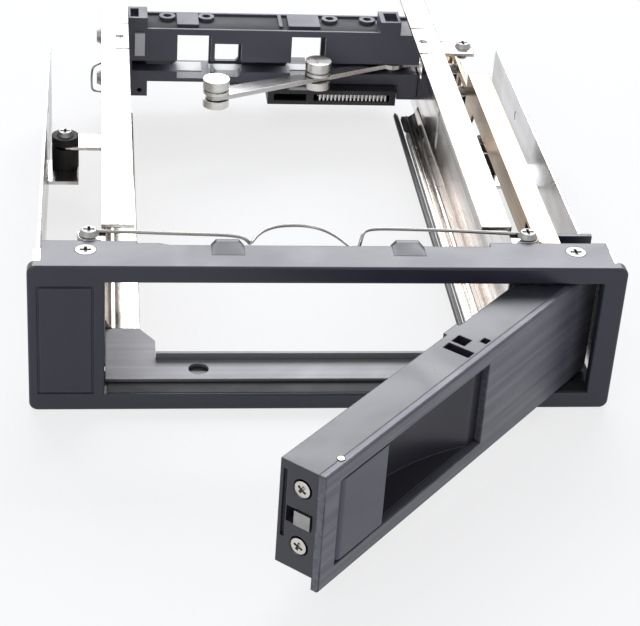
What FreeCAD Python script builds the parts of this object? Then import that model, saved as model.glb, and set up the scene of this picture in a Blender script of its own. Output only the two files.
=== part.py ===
import FreeCAD, Part
import math
import os
import re
import Sketcher
from FreeCAD import Placement, Rotation, Vector

# Trayless cage for a 3.5 inch drive in a 5.25 inch bay.
# X runs to the right, Y to the rear and Z up. The origin lies on the underside, at
# the middle of the front frame and on the plane of its back face, which is the stop
# against the bay.

SIZES = {
    # Front frame
    "frame_width": 148.5,
    "frame_height": 41.6,
    "frame_thick": 3.0,
    "frame_corner": 2.2,
    "frame_edge": 0.6,
    "mouth_margin_left": 18.75,
    "mouth_margin_right": 5.95,
    "mouth_left": "mouth_margin_left - frame_width / 2",
    "mouth_right": "frame_width / 2 - mouth_margin_right",
    "mouth_low": 4.6,
    "mouth_high": "frame_height - mouth_low",
    # Bare badge place
    "badge_margin": 2.15,
    "badge_wide": 14.0,
    "badge_low": 4.8,
    "badge_high": "frame_height - badge_low - 0.6",
    "badge_left": "badge_margin - frame_width / 2",
    "badge_right": "badge_left + badge_wide",
    "badge_groove": 0.7,
    "badge_deep": 0.5,
    # Collar behind the frame
    "collar_inset": 3.25,
    "collar_half": "frame_width / 2 - collar_inset",
    "collar_deep": 8.0,
    "collar_block": 10.0,
    "collar_roof": 2.0,
    "collar_side": 1.8,
    "block_left": "23.3 - collar_half",
    "block_right": "collar_half - 30",
    "step_end": -42.0,
    "step_foot": -39.5,
    "step_deep": 0.9,
    "tab_left": -29.4,
    "tab_right": 15.7,
    "tab_wide": 8.2,
    "tab_slope": 1.3,
    "tab_rise": 0.9,
    "tab_reach": 1.6,
    "hollow_first": 4.0,
    "hollow_wide": 17.0,
    "hollow_pitch": 20.0,
    # Pocket that the door turns in
    "pocket_deep": 24.0,
    "pocket_wall": 1.4,
    "pocket_top": "mouth_high - 0.3",
    "pocket_floor": 2.0,
    # Steel sheet
    "gauge": 1.0,
    "side_gauge": 0.8,
    "slip": 0.1,
    # Inner rails
    "rail_inset": 0.2,
    "door_room": 21.2,
    "rail_left": "mouth_left + rail_inset",
    "bay_wide": "mouth_right - mouth_left - door_room",
    "rail_start": 10.0,
    "rail_end": 174.0,
    "rail_top": "frame_height",
    "flange_left": 7.3,
    "flange_right": 6.8,
    "foot_wide": 5.3,
    "foot_start": 14.0,
    "foot_end": 160.0,
    "ear_reach": 6.0,
    "ear_start": 10.2,
    "ear_end": 16.6,
    "ear_drop": 1.0,
    "rail_slot_front": 122.0,
    "rail_slot_low": 12.2,
    "rail_slot_high": 25.5,
    "tongue_start": 128.6,
    "tongue_end": 148.2,
    "tongue_hole": 138.0,
    "tongue_slit": 0.7,
    "tongue_root": 2.5,
    # Outer side plates
    "plate_inset": 1.25,
    "plate_half": "frame_width / 2 - plate_inset",
    "plate_start": 1.2,
    "plate_end": 165.0,
    "plate_high": 28.0,
    "plate_nose": 9.8,
    "bolt_front": 47.4,
    "bolt_pitch": 79.24,
    "bolt_low": 10.0,
    "bolt_rise": 11.84,
    "bolt_radius": 1.6,
    # Screws in the collar and on the rails
    "collar_screw_left": "10.8 - collar_half",
    "collar_screw_right": "collar_half - 8.6",
    "collar_screw_back": 5.6,
    "sink_radius": 2.65,
    "sink_deep": 1.2,
    "shank": 1.45,
    "shank_fit": 0.05,
    "pan_radius": 2.55,
    "pan_high": 1.4,
    "cross_wide": 0.7,
    "cross_long": 2.8,
    "cross_deep": 0.7,
    "spring_screw_out": 3.1,
    "spring_screw_back": 13.2,
    # Wire that holds the drive down
    "wire_radius": 0.5,
    # Rubber mounts
    "rubber_left": "6 - plate_half",
    "rubber_right": "plate_half - 11.5",
    "rubber_back": 115.0,
    "rubber_low": 9.2,
    "rubber_high": 19.2,
    "rubber_radius": 4.0,
    "rubber_waist": 2.5,
    "rubber_groove": 15.8,
    # Front cross strip
    "strip_front": 2.7,
    "strip_back": 13.0,
    "strip_ear": 27.0,
    "strip_ear_wide": 13.0,
    "strip_lip": 1.8,
    # Door, drawn shut and then swung open
    "hinge_inset": 12.6,
    "hinge_across": "mouth_right - hinge_inset",
    "hinge_back": 7.7,
    "door_open": 48.5,
    "door_gap": 0.7,
    "door_left": "mouth_left + door_gap",
    "door_right": "mouth_right - 3 * door_gap",
    "door_low": 5.4,
    "door_high": "mouth_high - 0.8",
    "door_body_low": 8.6,
    "door_deep": 11.9,
    "face_thick": 2.0,
    "barrel": 3.2,
    "hinge_pin": 1.25,
    "turn_fit": 0.05,
    # Grip and scoop in the door
    "flap_inset": 6.0,
    "flap_long": 18.5,
    "scoop_long": 42.0,
    "flap_left": "door_left + flap_inset",
    "scoop_left": "flap_left + flap_long",
    "scoop_right": "scoop_left + scoop_long",
    "scoop_valley": "scoop_left + 8.3",
    "scoop_low": 9.8,
    "scoop_high": "door_high - 3.6",
    "scoop_deep": 10.2,
    "flap_gap": 0.5,
    "flap_thick": 2.2,
    "flap_pin": 0.8,
    "flap_barrel": 1.9,
    "flap_arm": 5.1,
    # Bolt in the free end
    "bolt_out": 0.5,
    "bolt_front_y": 0.2,
    "bolt_deep": 4.2,
    "bolt_z": 20.9,
    "bolt_high": 3.6,
    "bolt_tail": 7.6,
    "bolt_slack": 0.3,
    # Crank on the door and push bar
    "crank_radius": 6.3,
    "crank_pin": 1.2,
    "crank_angle": -45.0,
    "crank_rise": 2.0,
    "fork_slack": 0.6,
    "bar_offset": 7.5,
    "bar_left": "rail_left + bay_wide + bar_offset",
    "bar_wide": 6.4,
    "bar_top": "door_high + 1.9",
    "bar_web_low": 19.0,
    "bar_web_start": 30.0,
    "bar_web_high": 7.9,
    "bar_step": 110.0,
    "bar_flange_end": 122.5,
    # Guide on the outside of the right rail
    "guide_start": 125.4,
    "guide_high": "rail_top - 0.6",
    "guide_low": 20.0,
    "guide_tab_start": 130.6,
    "guide_tab_end": 139.0,
    "guide_tab_wide": 9.4,
    "guide_screw_out": 6.7,
    "guide_screw_back": 135.8,
    "rivet": 1.5,
    "rivet_front": 128.5,
    "rivet_pitch": 17.0,
    "bar_shoulder": "rivet_front + rivet_pitch + 2.5",
    "guide_end": "bar_shoulder + 4",
    "rivet_drop": 8.6,
    "rivet_z": "bar_top - rivet_drop",
    # Eject lever
    "pivot_inset": 8.6,
    "pivot_across": "rail_left + bay_wide - pivot_inset",
    "pivot_back": 168.6,
    "lever_open": 24.3,
    "lever_z": 20.0,
    "lever_thick": 1.5,
    "lever_tip": 65.0,
    "lever_mid": 28.1,
    "lever_wide": 6.5,
    "lever_narrow": 3.6,
    "lever_hub": 4.0,
    "short_arm": 11.6,
    "short_angle": -22.5,
    "link_pin": 1.1,
    "pivot_pin": 1.5,
    # Rollers
    "roller_radius": 4.15,
    "roller_low": 17.3,
    "roller_high": 26.3,
    "roller_pin": 1.5,
    "roller_gap": 0.25,
    # Rear bracket
    "bracket_front": 164.5,
    "bracket_back": 179.0,
    "bracket_wall": 1.6,
    "bracket_low": 14.8,
    "rail_shelf": 18.4,
    "slot_high": 22.0,
    "bracket_roof": 31.0,
    "bracket_top": 32.2,
    "bracket_lip": 0.8,
    "window_gap": 0.7,
    "window_sill": 1.3,
    "sill_left": 1.85,
    "sill_right": 1.55,
    "boss_radius": 2.65,
    "boss_hole": 1.3,
    "boss_high": 1.2,
    "boss_row": 4.0,
    "boss_left": 20.2,
    "boss_right": 16.8,
    "boss_left_pair": 12.6,
    "boss_right_pair": 12.4,
    "side_screw_low": 13.0,
    "side_screw_high": 27.6,
    "side_screw_back": 170.6,
    "foot_low": 9.6,
    # Board and sockets
    "board_thick": 1.6,
    "board_low": 3.0,
    "board_screw_z": 12.0,
    "sata_left": "rail_left + bay_wide - 49.8",
    "sata_wide": 42.0,
    "contact_pitch": 1.4,
    "contact_count": 15,
    "sata_low": 9.6,
    "sata_high": 14.6,
    "sata_front": 159.5,
}

doc = FreeCAD.newDocument("DriveCage")
sheet = doc.addObject("Spreadsheet::Sheet", "Sizes")
for row, (alias, value) in enumerate(SIZES.items(), 1):
    sheet.set("A%d" % row, alias)
    sheet.set("B%d" % row, "=" + value if isinstance(value, str) else str(value))
    sheet.setAlias("B%d" % row, alias)
doc.recompute()

# Names of faces and lines that several pieces share
RAIL_RIGHT = "(rail_left + bay_wide)"
ROOF_UNDER = "(frame_height - collar_roof)"
PLATE_IN = "(plate_half - side_gauge)"
DOOR_FACE = "(-frame_thick)"
BODY_FACE = "(-frame_thick + face_thick)"
FLAP_X = "(flap_left + flap_barrel)"
FLAP_Y = "(-frame_thick + flap_barrel)"
DOOR_BACK = "(-frame_thick + door_deep)"
EAR_TOP = "(rail_top - ear_drop)"


def words(rule):
    """Write a rule in the sheet's own names."""
    return re.sub(r"[a-z]\w*", lambda w: "Sizes." + w.group(0) if w.group(0) in SIZES else w.group(0), rule)


def number(rule):
    """Work a rule out as a plain number."""
    return float(eval_rule(rule))


def eval_rule(rule):
    answer = sheet.evalExpression(rule)
    return answer.Value if hasattr(answer, "Value") else answer


def bind(thing, prop, rule):
    """Tie a property to a rule."""
    thing.setExpression(prop, words(rule))


# Primitives between named limits


def block(name, x, y, z):
    """A box from low to high along each axis."""
    solid = doc.addObject("Part::Box", name)
    for side, axis, (low, high) in zip(("Length", "Width", "Height"), "xyz", (x, y, z)):
        bind(solid, side, "(%s) - (%s)" % (high, low))
        bind(solid, ".Placement.Base." + axis, low)
    return solid


TURNS = {"x": Rotation(Vector(0, 1, 0), 90), "y": Rotation(Vector(1, 0, 0), -90), "z": Rotation()}


def rod(name, along, centre, radius, span, end_radius=None):
    """A cylinder, or a cone where the far end has its own radius."""
    kind = "Part::Cylinder" if end_radius is None else "Part::Cone"
    solid = doc.addObject(kind, name)
    solid.Placement = Placement(Vector(), TURNS[along])
    if end_radius is None:
        bind(solid, "Radius", radius)
    else:
        bind(solid, "Radius1", radius)
        bind(solid, "Radius2", end_radius)
    bind(solid, "Height", "(%s) - (%s)" % (span[1], span[0]))
    others = [axis for axis in "xyz" if axis != along]
    bind(solid, ".Placement.Base." + along, span[0])
    for axis, place in zip(others, centre):
        bind(solid, ".Placement.Base." + axis, place)
    return solid


def join(name, *solids):
    """One solid out of several that overlap or meet."""
    whole = doc.addObject("Part::MultiFuse", name)
    whole.Shapes = list(solids)
    whole.Refine = True
    return whole


def cut(name, base, *tools):
    """The base with the tools taken away."""
    tool = tools[0] if len(tools) == 1 else join(name + "_tools", *tools)
    rest = doc.addObject("Part::Cut", name)
    rest.Base = base
    rest.Tool = tool
    rest.Refine = True
    return rest


def group(name, *solids):
    """Loose solids that share one name."""
    bundle = doc.addObject("Part::Compound", name)
    bundle.Links = list(solids)
    return bundle


# Sketched bodies

PLANES = {"XY": "XY_Plane", "XZ": "XZ_Plane", "YZ": "YZ_Plane"}


def sketch(body, plane, level, outlines, circles=()):
    """A fully dimensioned sketch of polygons and circles on a base plane."""
    drawing = body.newObject("Sketcher::SketchObject", body.Name + "_sketch")
    origin = [o for o in body.Origin.OriginFeatures if o.Role == PLANES[plane]][0]
    drawing.AttachmentSupport = [(origin, "")]
    drawing.MapMode = "FlatFace"
    bind(drawing, ".AttachmentOffset.Base.z", "-(%s)" % level if plane == "XZ" else level)

    def pin(geometry, spot, across, up):
        for kind, rule in (("DistanceX", across), ("DistanceY", up)):
            place = number(rule)
            index = drawing.addConstraint(Sketcher.Constraint(kind, -1, 1, geometry, spot, place))
            bind(drawing, "Constraints[%d]" % index, rule)

    for points in outlines:
        spots = [Vector(number(x), number(y), 0) for x, y in points]
        first = drawing.GeometryCount
        count = len(points)
        for i in range(count):
            drawing.addGeometry(Part.LineSegment(spots[i], spots[(i + 1) % count]), False)
        for i in range(count):
            after = first + (i + 1) % count
            drawing.addConstraint(Sketcher.Constraint("Coincident", first + i, 2, after, 1))
        for i, (x, y) in enumerate(points):
            pin(first + i, 1, x, y)
    for x, y, radius in circles:
        centre = Vector(number(x), number(y), 0)
        ring = drawing.addGeometry(Part.Circle(centre, Vector(0, 0, 1), number(radius)), False)
        pin(ring, 3, x, y)
        index = drawing.addConstraint(Sketcher.Constraint("Radius", ring, number(radius)))
        bind(drawing, "Constraints[%d]" % index, radius)
    return drawing


def rect(x0, x1, y0, y1):
    """The four corners between two pairs of limits."""
    return [(x0, y0), (x1, y0), (x1, y1), (x0, y1)]


def pad(body, plane, level, far, outlines, circles=()):
    """Material between two levels along the plane's own axis."""
    drawing = sketch(body, plane, level, outlines, circles)
    feature = body.newObject("PartDesign::Pad", body.Name + "_pad")
    feature.Profile = drawing
    bind(feature, "Length", "(%s) - (%s)" % (far, level))
    feature.Reversed = plane == "XZ"
    doc.recompute()
    return feature


def pocket(body, plane, level, far, outlines, circles=()):
    """A cut between two levels, tested by the volume that it takes away."""
    before = body.Shape.Volume
    drawing = sketch(body, plane, level, outlines, circles)
    feature = body.newObject("PartDesign::Pocket", body.Name + "_pocket")
    feature.Profile = drawing
    bind(feature, "Length", "(%s) - (%s)" % (far, level))
    feature.Reversed = plane != "XZ"
    doc.recompute()
    if not body.Shape.Volume < before - 1e-6:
        raise ValueError("a pocket in %s cuts nothing" % body.Name)
    return feature


def soften(body, kind, size, pick):
    """Round or bevel the edges that the test picks."""
    base = body.Tip
    names = []
    for index, edge in enumerate(base.Shape.Edges, 1):
        if pick(edge):
            names.append("Edge%d" % index)
    feature = body.newObject("PartDesign::" + kind, body.Name + "_" + kind.lower())
    feature.Base = (base, names)
    bind(feature, "Radius" if kind == "Fillet" else "Size", size)
    doc.recompute()
    return feature


def new_body(name):
    return doc.addObject("PartDesign::Body", name)


def along(edge, axis):
    """True for a straight edge that runs along one axis."""
    if not isinstance(edge.Curve, Part.Line):
        return False
    return abs(abs(edge.Curve.Direction.dot(axis)) - 1) < 1e-6


X_AXIS = Vector(1, 0, 0)
Y_AXIS = Vector(0, 1, 0)
Z_AXIS = Vector(0, 0, 1)

PIECES = {}


def keep(name, solid):
    """Give a finished piece its own name."""
    solid.Label = name
    PIECES[name] = solid
    return solid


HINGE = Vector(number("hinge_across"), number("hinge_back"), 0)
PIVOT = Vector(number("pivot_across"), number("pivot_back"), 0)


def swing(solid, centre, angle):
    """Turn a finished piece about an upright axis."""
    if solid.ExpressionEngine:
        solid = group(solid.Name + "_turned", solid)
    doc.recompute()
    solid.Placement = Placement(Vector(), Rotation(Z_AXIS, angle), centre).multiply(solid.Placement)
    return solid


def cross_recess(name, x, y, top):
    """The cross that a screwdriver fits, cut from above."""
    long_half = "cross_long / 2"
    wide_half = "cross_wide / 2"
    floor = "%s - cross_deep" % top
    one = block(name + "_a", ("%s - %s" % (x, long_half), "%s + %s" % (x, long_half)),
                ("%s - %s" % (y, wide_half), "%s + %s" % (y, wide_half)), (floor, "%s + 1" % top))
    two = block(name + "_b", ("%s - %s" % (x, wide_half), "%s + %s" % (x, wide_half)),
                ("%s - %s" % (y, long_half), "%s + %s" % (y, long_half)), (floor, "%s + 1" % top))
    return [one, two]


def pan_screw(name, x, y, seat, foot):
    """A pan-head screw that stands upright on its seat."""
    top = "%s + pan_high" % seat
    head = rod(name + "_head", "z", (x, y), "pan_radius", (seat, top), "pan_radius * 0.72")
    stem = rod(name + "_stem", "z", (x, y), "shank", (foot, seat))
    return cut(name, join(name + "_blank", head, stem), *cross_recess(name + "_cross", x, y, top))


# Front frame: moulded plate with its mouth, the bare badge place and the collar

frame = new_body("bezel_body")
half = "frame_width / 2"
pad(frame, "XZ", DOOR_FACE, "0", [rect("-" + half, half, "0", "frame_height"),
                                  rect("mouth_left", "mouth_right", "mouth_low", "mouth_high")])
soften(frame, "Fillet", "frame_corner",
       lambda e: along(e, Y_AXIS) and abs(abs(e.CenterOfMass.x) - SIZES["frame_width"] / 2) < 0.01)
soften(frame, "Fillet", "frame_edge",
       lambda e: abs(e.CenterOfMass.y + SIZES["frame_thick"]) < 0.01 and e.BoundBox.YLength < 0.01)
pocket(frame, "XZ", DOOR_FACE, DOOR_FACE + " + badge_deep",
       [rect("badge_left", "badge_right", "badge_low", "badge_high"),
        rect("badge_left + badge_groove", "badge_right - badge_groove",
             "badge_low + badge_groove", "badge_high - badge_groove")])
# Roof, floor and left end of the collar
pad(frame, "XZ", "0", "collar_deep",
    [[("-collar_half", "0"), ("collar_half", "0"), ("collar_half", "mouth_low"),
      ("mouth_left", "mouth_low"), ("mouth_left", "mouth_high"), ("mouth_left - collar_side", "mouth_high"),
      ("mouth_left - collar_side", "mouth_low - collar_roof"),
      ("collar_side - collar_half", "mouth_low - collar_roof"), ("collar_side - collar_half", "mouth_high"),
      ("-collar_half", "mouth_high")]])
pad(frame, "XZ", "0", "collar_deep", [rect("-collar_half", "collar_half", ROOF_UNDER, "frame_height")])
pad(frame, "XY", ROOF_UNDER, "frame_height", [rect("block_right", "collar_half", "collar_deep", "collar_block")])
pad(frame, "XY", ROOF_UNDER, "frame_height",
    [[("-collar_half", "collar_deep"), ("step_foot", "collar_deep"), ("step_end", "collar_deep + step_deep"),
      ("block_left", "collar_deep + step_deep"), ("block_left", "collar_block"), ("-collar_half", "collar_block")]])
for low in ("tab_left", "tab_right"):
    high = low + " + tab_wide"
    pad(frame, "XZ", "collar_deep", "collar_deep + tab_reach",
        [[(low, ROOF_UNDER), (high, ROOF_UNDER), (high, "frame_height - tab_slope / 2"),
          (high + " - tab_slope", "frame_height + tab_rise"), (low + " + tab_slope", "frame_height + tab_rise"),
          (low, "frame_height - tab_slope / 2")]])
# Hollows in the floor bar, seen from behind
for step in range(5):
    low = "mouth_left + hollow_first + %d * hollow_pitch" % step
    pocket(frame, "XZ", "1.2", "collar_deep", [rect(low, low + " + hollow_wide", "1.6", "mouth_low - 1.2")])
# Pocket for the turning door
pad(frame, "XY", "mouth_low - pocket_floor", "mouth_low",
    [rect(RAIL_RIGHT + " + gauge + slip", "collar_half", "collar_deep", "pocket_deep")])
pad(frame, "XY", "mouth_low", "pocket_top",
    [[(RAIL_RIGHT + " + gauge + slip", "rail_start"), (RAIL_RIGHT + " + gauge + slip + pocket_wall", "rail_start"),
      (RAIL_RIGHT + " + gauge + slip + pocket_wall", "pocket_deep - pocket_wall"),
      ("collar_half", "pocket_deep - pocket_wall"), ("collar_half", "pocket_deep"),
      (RAIL_RIGHT + " + gauge + slip", "pocket_deep")]])
pad(frame, "XY", "mouth_low", "door_body_low - 0.4", [], [("hinge_across", "hinge_back", "barrel")])
left_sink = rod("left_sink", "z", ("collar_screw_left", "collar_screw_back"), "shank + shank_fit",
                ("frame_height - sink_deep", "frame_height"), "sink_radius + shank_fit")
right_sink = rod("right_sink", "z", ("collar_screw_right", "collar_screw_back"), "shank + shank_fit",
                 ("frame_height - sink_deep", "frame_height"), "sink_radius + shank_fit")
left_bore = rod("left_bore", "z", ("collar_screw_left", "collar_screw_back"), "shank + shank_fit",
                (ROOF_UNDER + " - 1", "frame_height"))
right_bore = rod("right_bore", "z", ("collar_screw_right", "collar_screw_back"), "shank + shank_fit",
                 (ROOF_UNDER + " - 1", "frame_height"))
pin_bore = rod("pin_bore", "z", ("hinge_across", "hinge_back"), "hinge_pin + turn_fit",
               ("1.2", "frame_height - 0.8"))
keep("bezel", cut("bezel_cut", frame, left_sink, right_sink, left_bore, right_bore, pin_bore))


def sunk_screw(name, x, y, top, foot):
    """A countersunk screw whose head is flush with the top."""
    head = rod(name + "_head", "z", (x, y), "shank", (top + " - sink_deep", top), "sink_radius")
    stem = rod(name + "_stem", "z", (x, y), "shank", (foot, top + " - sink_deep"))
    return cut(name, join(name + "_blank", head, stem), *cross_recess(name + "_cross", x, y, top))


screws = []
for side in ("left", "right"):
    screws.append(sunk_screw("collar_screw_piece_" + side, "collar_screw_" + side, "collar_screw_back",
                             "frame_height", ROOF_UNDER + " - gauge"))
keep("collar_screws", group("collar_screw_pair", *screws))

# Inner rails: folded bright sheet with a top flange, an ear and a tab for the rubber


def inner_rail(name, web_in, out, flange, rubber):
    """Upright wall whose flange turns inward; out is + or - towards the outside."""
    back = "-" if out == "+" else "+"
    body = new_body(name + "_body")
    web_out = "%s %s gauge" % (web_in, out)
    edge = "%s %s %s" % (web_in, back, flange)
    pad(body, "XZ", "rail_start", "rail_end",
        [[(web_out, "mouth_low"), (web_in, "mouth_low"), (web_in, "rail_top - gauge"),
          (edge, "rail_top - gauge"), (edge, "rail_top"), (web_out, "rail_top")]])
    pad(body, "XY", EAR_TOP + " - gauge", EAR_TOP,
        [rect("%s %s gauge / 2" % (web_in, out), "%s %s (gauge + ear_reach)" % (web_in, out),
              "ear_start", "ear_end")])
    pad(body, "XY", "rubber_groove", "rubber_groove + gauge",
        [rect("%s %s gauge / 2" % (web_in, out), rubber, "rubber_back - 3.4", "rubber_back + 6")])
    pocket(body, "XZ", "rail_start", "spring_screw_back + 5.2",
           [rect("%s %s gauge" % (web_in, out), edge, EAR_TOP, "rail_top")])
    pocket(body, "XY", "rubber_groove", "rubber_groove + gauge", [],
           [(rubber, "rubber_back", "rubber_waist + slip")])
    pocket(body, "XY", EAR_TOP + " - gauge", EAR_TOP, [],
           [("%s %s (gauge + spring_screw_out)" % (web_in, out), "spring_screw_back", "shank + shank_fit")])
    return body


left_rail = inner_rail("cage_rail_left", "rail_left", "-", "flange_left", "rubber_left")
left_tip = "rail_left + flange_left"
for row in ("tongue_start", "tongue_end"):
    pocket(left_rail, "XY", "rail_top - gauge", "rail_top",
           [rect("rail_left + tongue_root", left_tip + " + 1", row + " - tongue_slit / 2", row + " + tongue_slit / 2")])
pocket(left_rail, "XY", "rail_top - gauge", "rail_top", [], [(left_tip + " - 2.7", "tongue_hole", "1.3")])
keep("cage_rail_left", left_rail)

right_rail = inner_rail("cage_rail_right", RAIL_RIGHT, "+", "flange_right", "rubber_right")
right_tip = RAIL_RIGHT + " - flange_right"
for row in ("tongue_start", "tongue_end"):
    pocket(right_rail, "XY", "rail_top - gauge", "rail_top",
           [rect(right_tip + " - 1", RAIL_RIGHT + " - tongue_root", row + " - tongue_slit / 2", row + " + tongue_slit / 2")])
pocket(right_rail, "XY", "rail_top - gauge", "rail_top", [], [(right_tip + " + 2.4", "tongue_hole", "1.3")])
pad(right_rail, "XY", "mouth_low", "mouth_low + gauge",
    [rect(RAIL_RIGHT + " - foot_wide", RAIL_RIGHT + " + gauge / 2", "foot_start", "foot_end")])
# Way out for the short arm of the lever, and an upright slot
pocket(right_rail, "YZ", RAIL_RIGHT, RAIL_RIGHT + " + gauge",
       [rect("pivot_back - 9.6", "rail_end", "lever_z - 0.8", "lever_z + lever_thick + 3.1")])
pocket(right_rail, "YZ", RAIL_RIGHT, RAIL_RIGHT + " + gauge", [rect("rail_slot_front", "rail_slot_front + 2.6", "rail_slot_low", "rail_slot_high")])
keep("cage_rail_right", right_rail)

strip = new_body("front_cross_strip_body")
pad(strip, "XY", "mouth_low", "mouth_low + gauge",
    [[("rail_left", "strip_front"), (RAIL_RIGHT, "strip_front"), (RAIL_RIGHT, "foot_start - slip"),
      (RAIL_RIGHT + " - foot_wide - slip", "foot_start - slip"), (RAIL_RIGHT + " - foot_wide - slip", "strip_ear"),
      (RAIL_RIGHT + " - strip_ear_wide + 4", "strip_ear"), (RAIL_RIGHT + " - strip_ear_wide", "strip_ear - 6"),
      (RAIL_RIGHT + " - strip_ear_wide", "strip_back"), ("rail_left + strip_ear_wide", "strip_back"),
      ("rail_left + strip_ear_wide", "strip_ear - 6"), ("rail_left + strip_ear_wide - 4", "strip_ear"),
      ("rail_left", "strip_ear")]])
pad(strip, "XY", "mouth_low + gauge", "mouth_low + gauge + strip_lip",
    [rect("rail_left + strip_ear_wide", RAIL_RIGHT + " - strip_ear_wide", "strip_back - gauge", "strip_back")])
pocket(strip, "XY", "mouth_low", "mouth_low + gauge", [], [("rail_left + 23.8", "7.4", "2.6")])
keep("front_cross_strip", strip)

# Outer side plates: thin steel with the bay's screw holes, a top ear and a low tab


def side_plate(name, sign, rubber, ear_to):
    """Plate at one side; sign is - for the left and an empty text for the right."""
    body = new_body(name + "_body")
    near, far = ("-plate_half", "side_gauge - plate_half") if sign else (PLATE_IN, "plate_half")
    pad(body, "YZ", near, far,
        [[("plate_start", "0"), ("plate_end", "0"), ("plate_end", "plate_high - 1.5"),
          ("plate_end - 1.5", "plate_high"), ("plate_nose + 4", "plate_high"), ("plate_nose", "plate_high + 4"),
          ("plate_nose", ROOF_UNDER), ("plate_start", ROOF_UNDER)]],
        [(row, level, "bolt_radius") for row in ("bolt_front", "bolt_front + bolt_pitch")
         for level in ("bolt_low", "bolt_low + bolt_rise")])
    inner = "side_gauge / 2 - plate_half" if sign else "plate_half - side_gauge / 2"
    pad(body, "XY", ROOF_UNDER + " - gauge", ROOF_UNDER, [rect(inner, ear_to, "plate_start", "plate_nose")])
    tab_end = "%s %s rubber_radius" % (rubber, "+" if sign else "-")
    pad(body, "XY", "rubber_low - gauge", "rubber_low",
        [rect(inner, tab_end, "rubber_back - 11", "rubber_back + 3.5")])
    pocket(body, "XY", "rubber_low - gauge", "rubber_low", [], [(rubber, "rubber_back", "shank + shank_fit")])
    screw_x = "collar_screw_left" if sign else "collar_screw_right"
    pocket(body, "XY", ROOF_UNDER + " - gauge", ROOF_UNDER, [],
           [(screw_x, "collar_screw_back", "shank + shank_fit")])
    return keep(name, body)


side_plate("side_plate_left", "-", "rubber_left", "collar_screw_left + 3")
side_plate("side_plate_right", "", "rubber_right", "hinge_across + hinge_pin + 1")


def rubber_mount(side):
    """Rubber spool whose groove takes the rail's tab, and the screw through it."""
    x = "rubber_" + side
    spool = join("rubber_spool_" + side,
                 rod("rubber_foot_" + side, "z", (x, "rubber_back"), "rubber_radius", ("rubber_low", "rubber_groove")),
                 rod("rubber_neck_" + side, "z", (x, "rubber_back"), "rubber_waist",
                     ("rubber_groove", "rubber_groove + gauge")),
                 rod("rubber_cap_" + side, "z", (x, "rubber_back"), "rubber_radius",
                     ("rubber_groove + gauge", "rubber_high")))
    bore = rod("rubber_bore_" + side, "z", (x, "rubber_back"), "shank + shank_fit",
               ("rubber_low", "rubber_high"))
    keep("grommet_" + side, cut("rubber_cut_" + side, spool, bore))
    return pan_screw("rubber_screw_" + side, x, "rubber_back", "rubber_high", "rubber_low - gauge - 0.8")


keep("grommet_screws", group("rubber_screws", rubber_mount("left"), rubber_mount("right")))

# Wire over the drive and its two pan-head screws

screw_spots = (("rail_left - gauge - spring_screw_out"), (RAIL_RIGHT + " + gauge + spring_screw_out"))
WIRE_SEAT = EAR_TOP + " + 2 * wire_radius + slip"
keep("spring_screws", group("spring_screw_pair", *[
    pan_screw("spring_screw_%d" % i, spot, "spring_screw_back", WIRE_SEAT, EAR_TOP + " - gauge - 0.6")
    for i, spot in enumerate(screw_spots)]))


def bent_wire(stops):
    """A path of straight runs joined by tangent arcs; a stop is a point and the radius of its bend."""
    edges = []
    points = [point for point, bend in stops]
    start = points[0]
    for before, here, after, bend in zip(points, points[1:], points[2:], [bend for point, bend in stops[1:]]):
        into = (here - before).normalize()
        outof = (after - here).normalize()
        half_turn = into.getAngle(outof) / 2
        reach = min(bend * math.tan(half_turn), 0.48 * (here - before).Length, 0.48 * (after - here).Length)
        radius = reach / math.tan(half_turn)
        inward = (outof - into).normalize()
        first = here - into * reach
        last = here + outof * reach
        middle = here + inward * (radius / math.cos(half_turn) - radius)
        edges.append(Part.LineSegment(start, first).toShape())
        edges.append(Part.Arc(first, middle, last).toShape())
        start = last
    edges.append(Part.LineSegment(start, points[-1]).toShape())
    return Part.Wire(edges)


def wire_solid(stops, radius):
    """Round wire along a bent path."""
    start, second = stops[0][0], stops[1][0]
    ring = Part.Wire(Part.Circle(start, second - start, radius).toShape())
    return bent_wire(stops).makePipeShell([ring], True, False)


left_x = number(screw_spots[0])
right_x = number(screw_spots[1])
screw_y = number("spring_screw_back")
loop = number("shank + wire_radius + 0.6")
tight = number("3.2 * wire_radius")
high = number(EAR_TOP + " + wire_radius + 0.02")
low = number("pocket_top + 1.3")
stops = [(Vector(left_x + loop + 0.6, screw_y - loop, high), 0), (Vector(left_x - loop, screw_y - loop, high), tight),
         (Vector(left_x - loop, screw_y + loop, high), tight), (Vector(-24.2, screw_y + loop, high), 6),
         (Vector(-19.2, 13.2, high - 1), 1.2), (Vector(-16.5, 22.6, low), 2.6), (Vector(-5.6, 25.9, low), 12),
         (Vector(2.8, 20.5, low), 5), (Vector(5.6, 14.2, low), 1.2), (Vector(8.9, 14.6, low), 1),
         (Vector(9.5, 15.2, high), 1), (Vector(12.5, 18.4, high), 3.5), (Vector(29.6, 18.3, high), 20),
         (Vector(46, screw_y + loop, high), 6), (Vector(right_x + loop, screw_y + loop, high), tight),
         (Vector(right_x + loop, screw_y - loop, high), tight),
         (Vector(right_x - loop - 0.6, screw_y - loop, high), 0)]
spring = doc.addObject("Part::Feature", "retaining_spring_shape")
spring.Shape = wire_solid(stops, number("wire_radius"))
keep("retaining_spring", spring)

# Door, drawn shut: body with hinge barrel, scoop, recess for the grip and bolt channel

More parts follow.
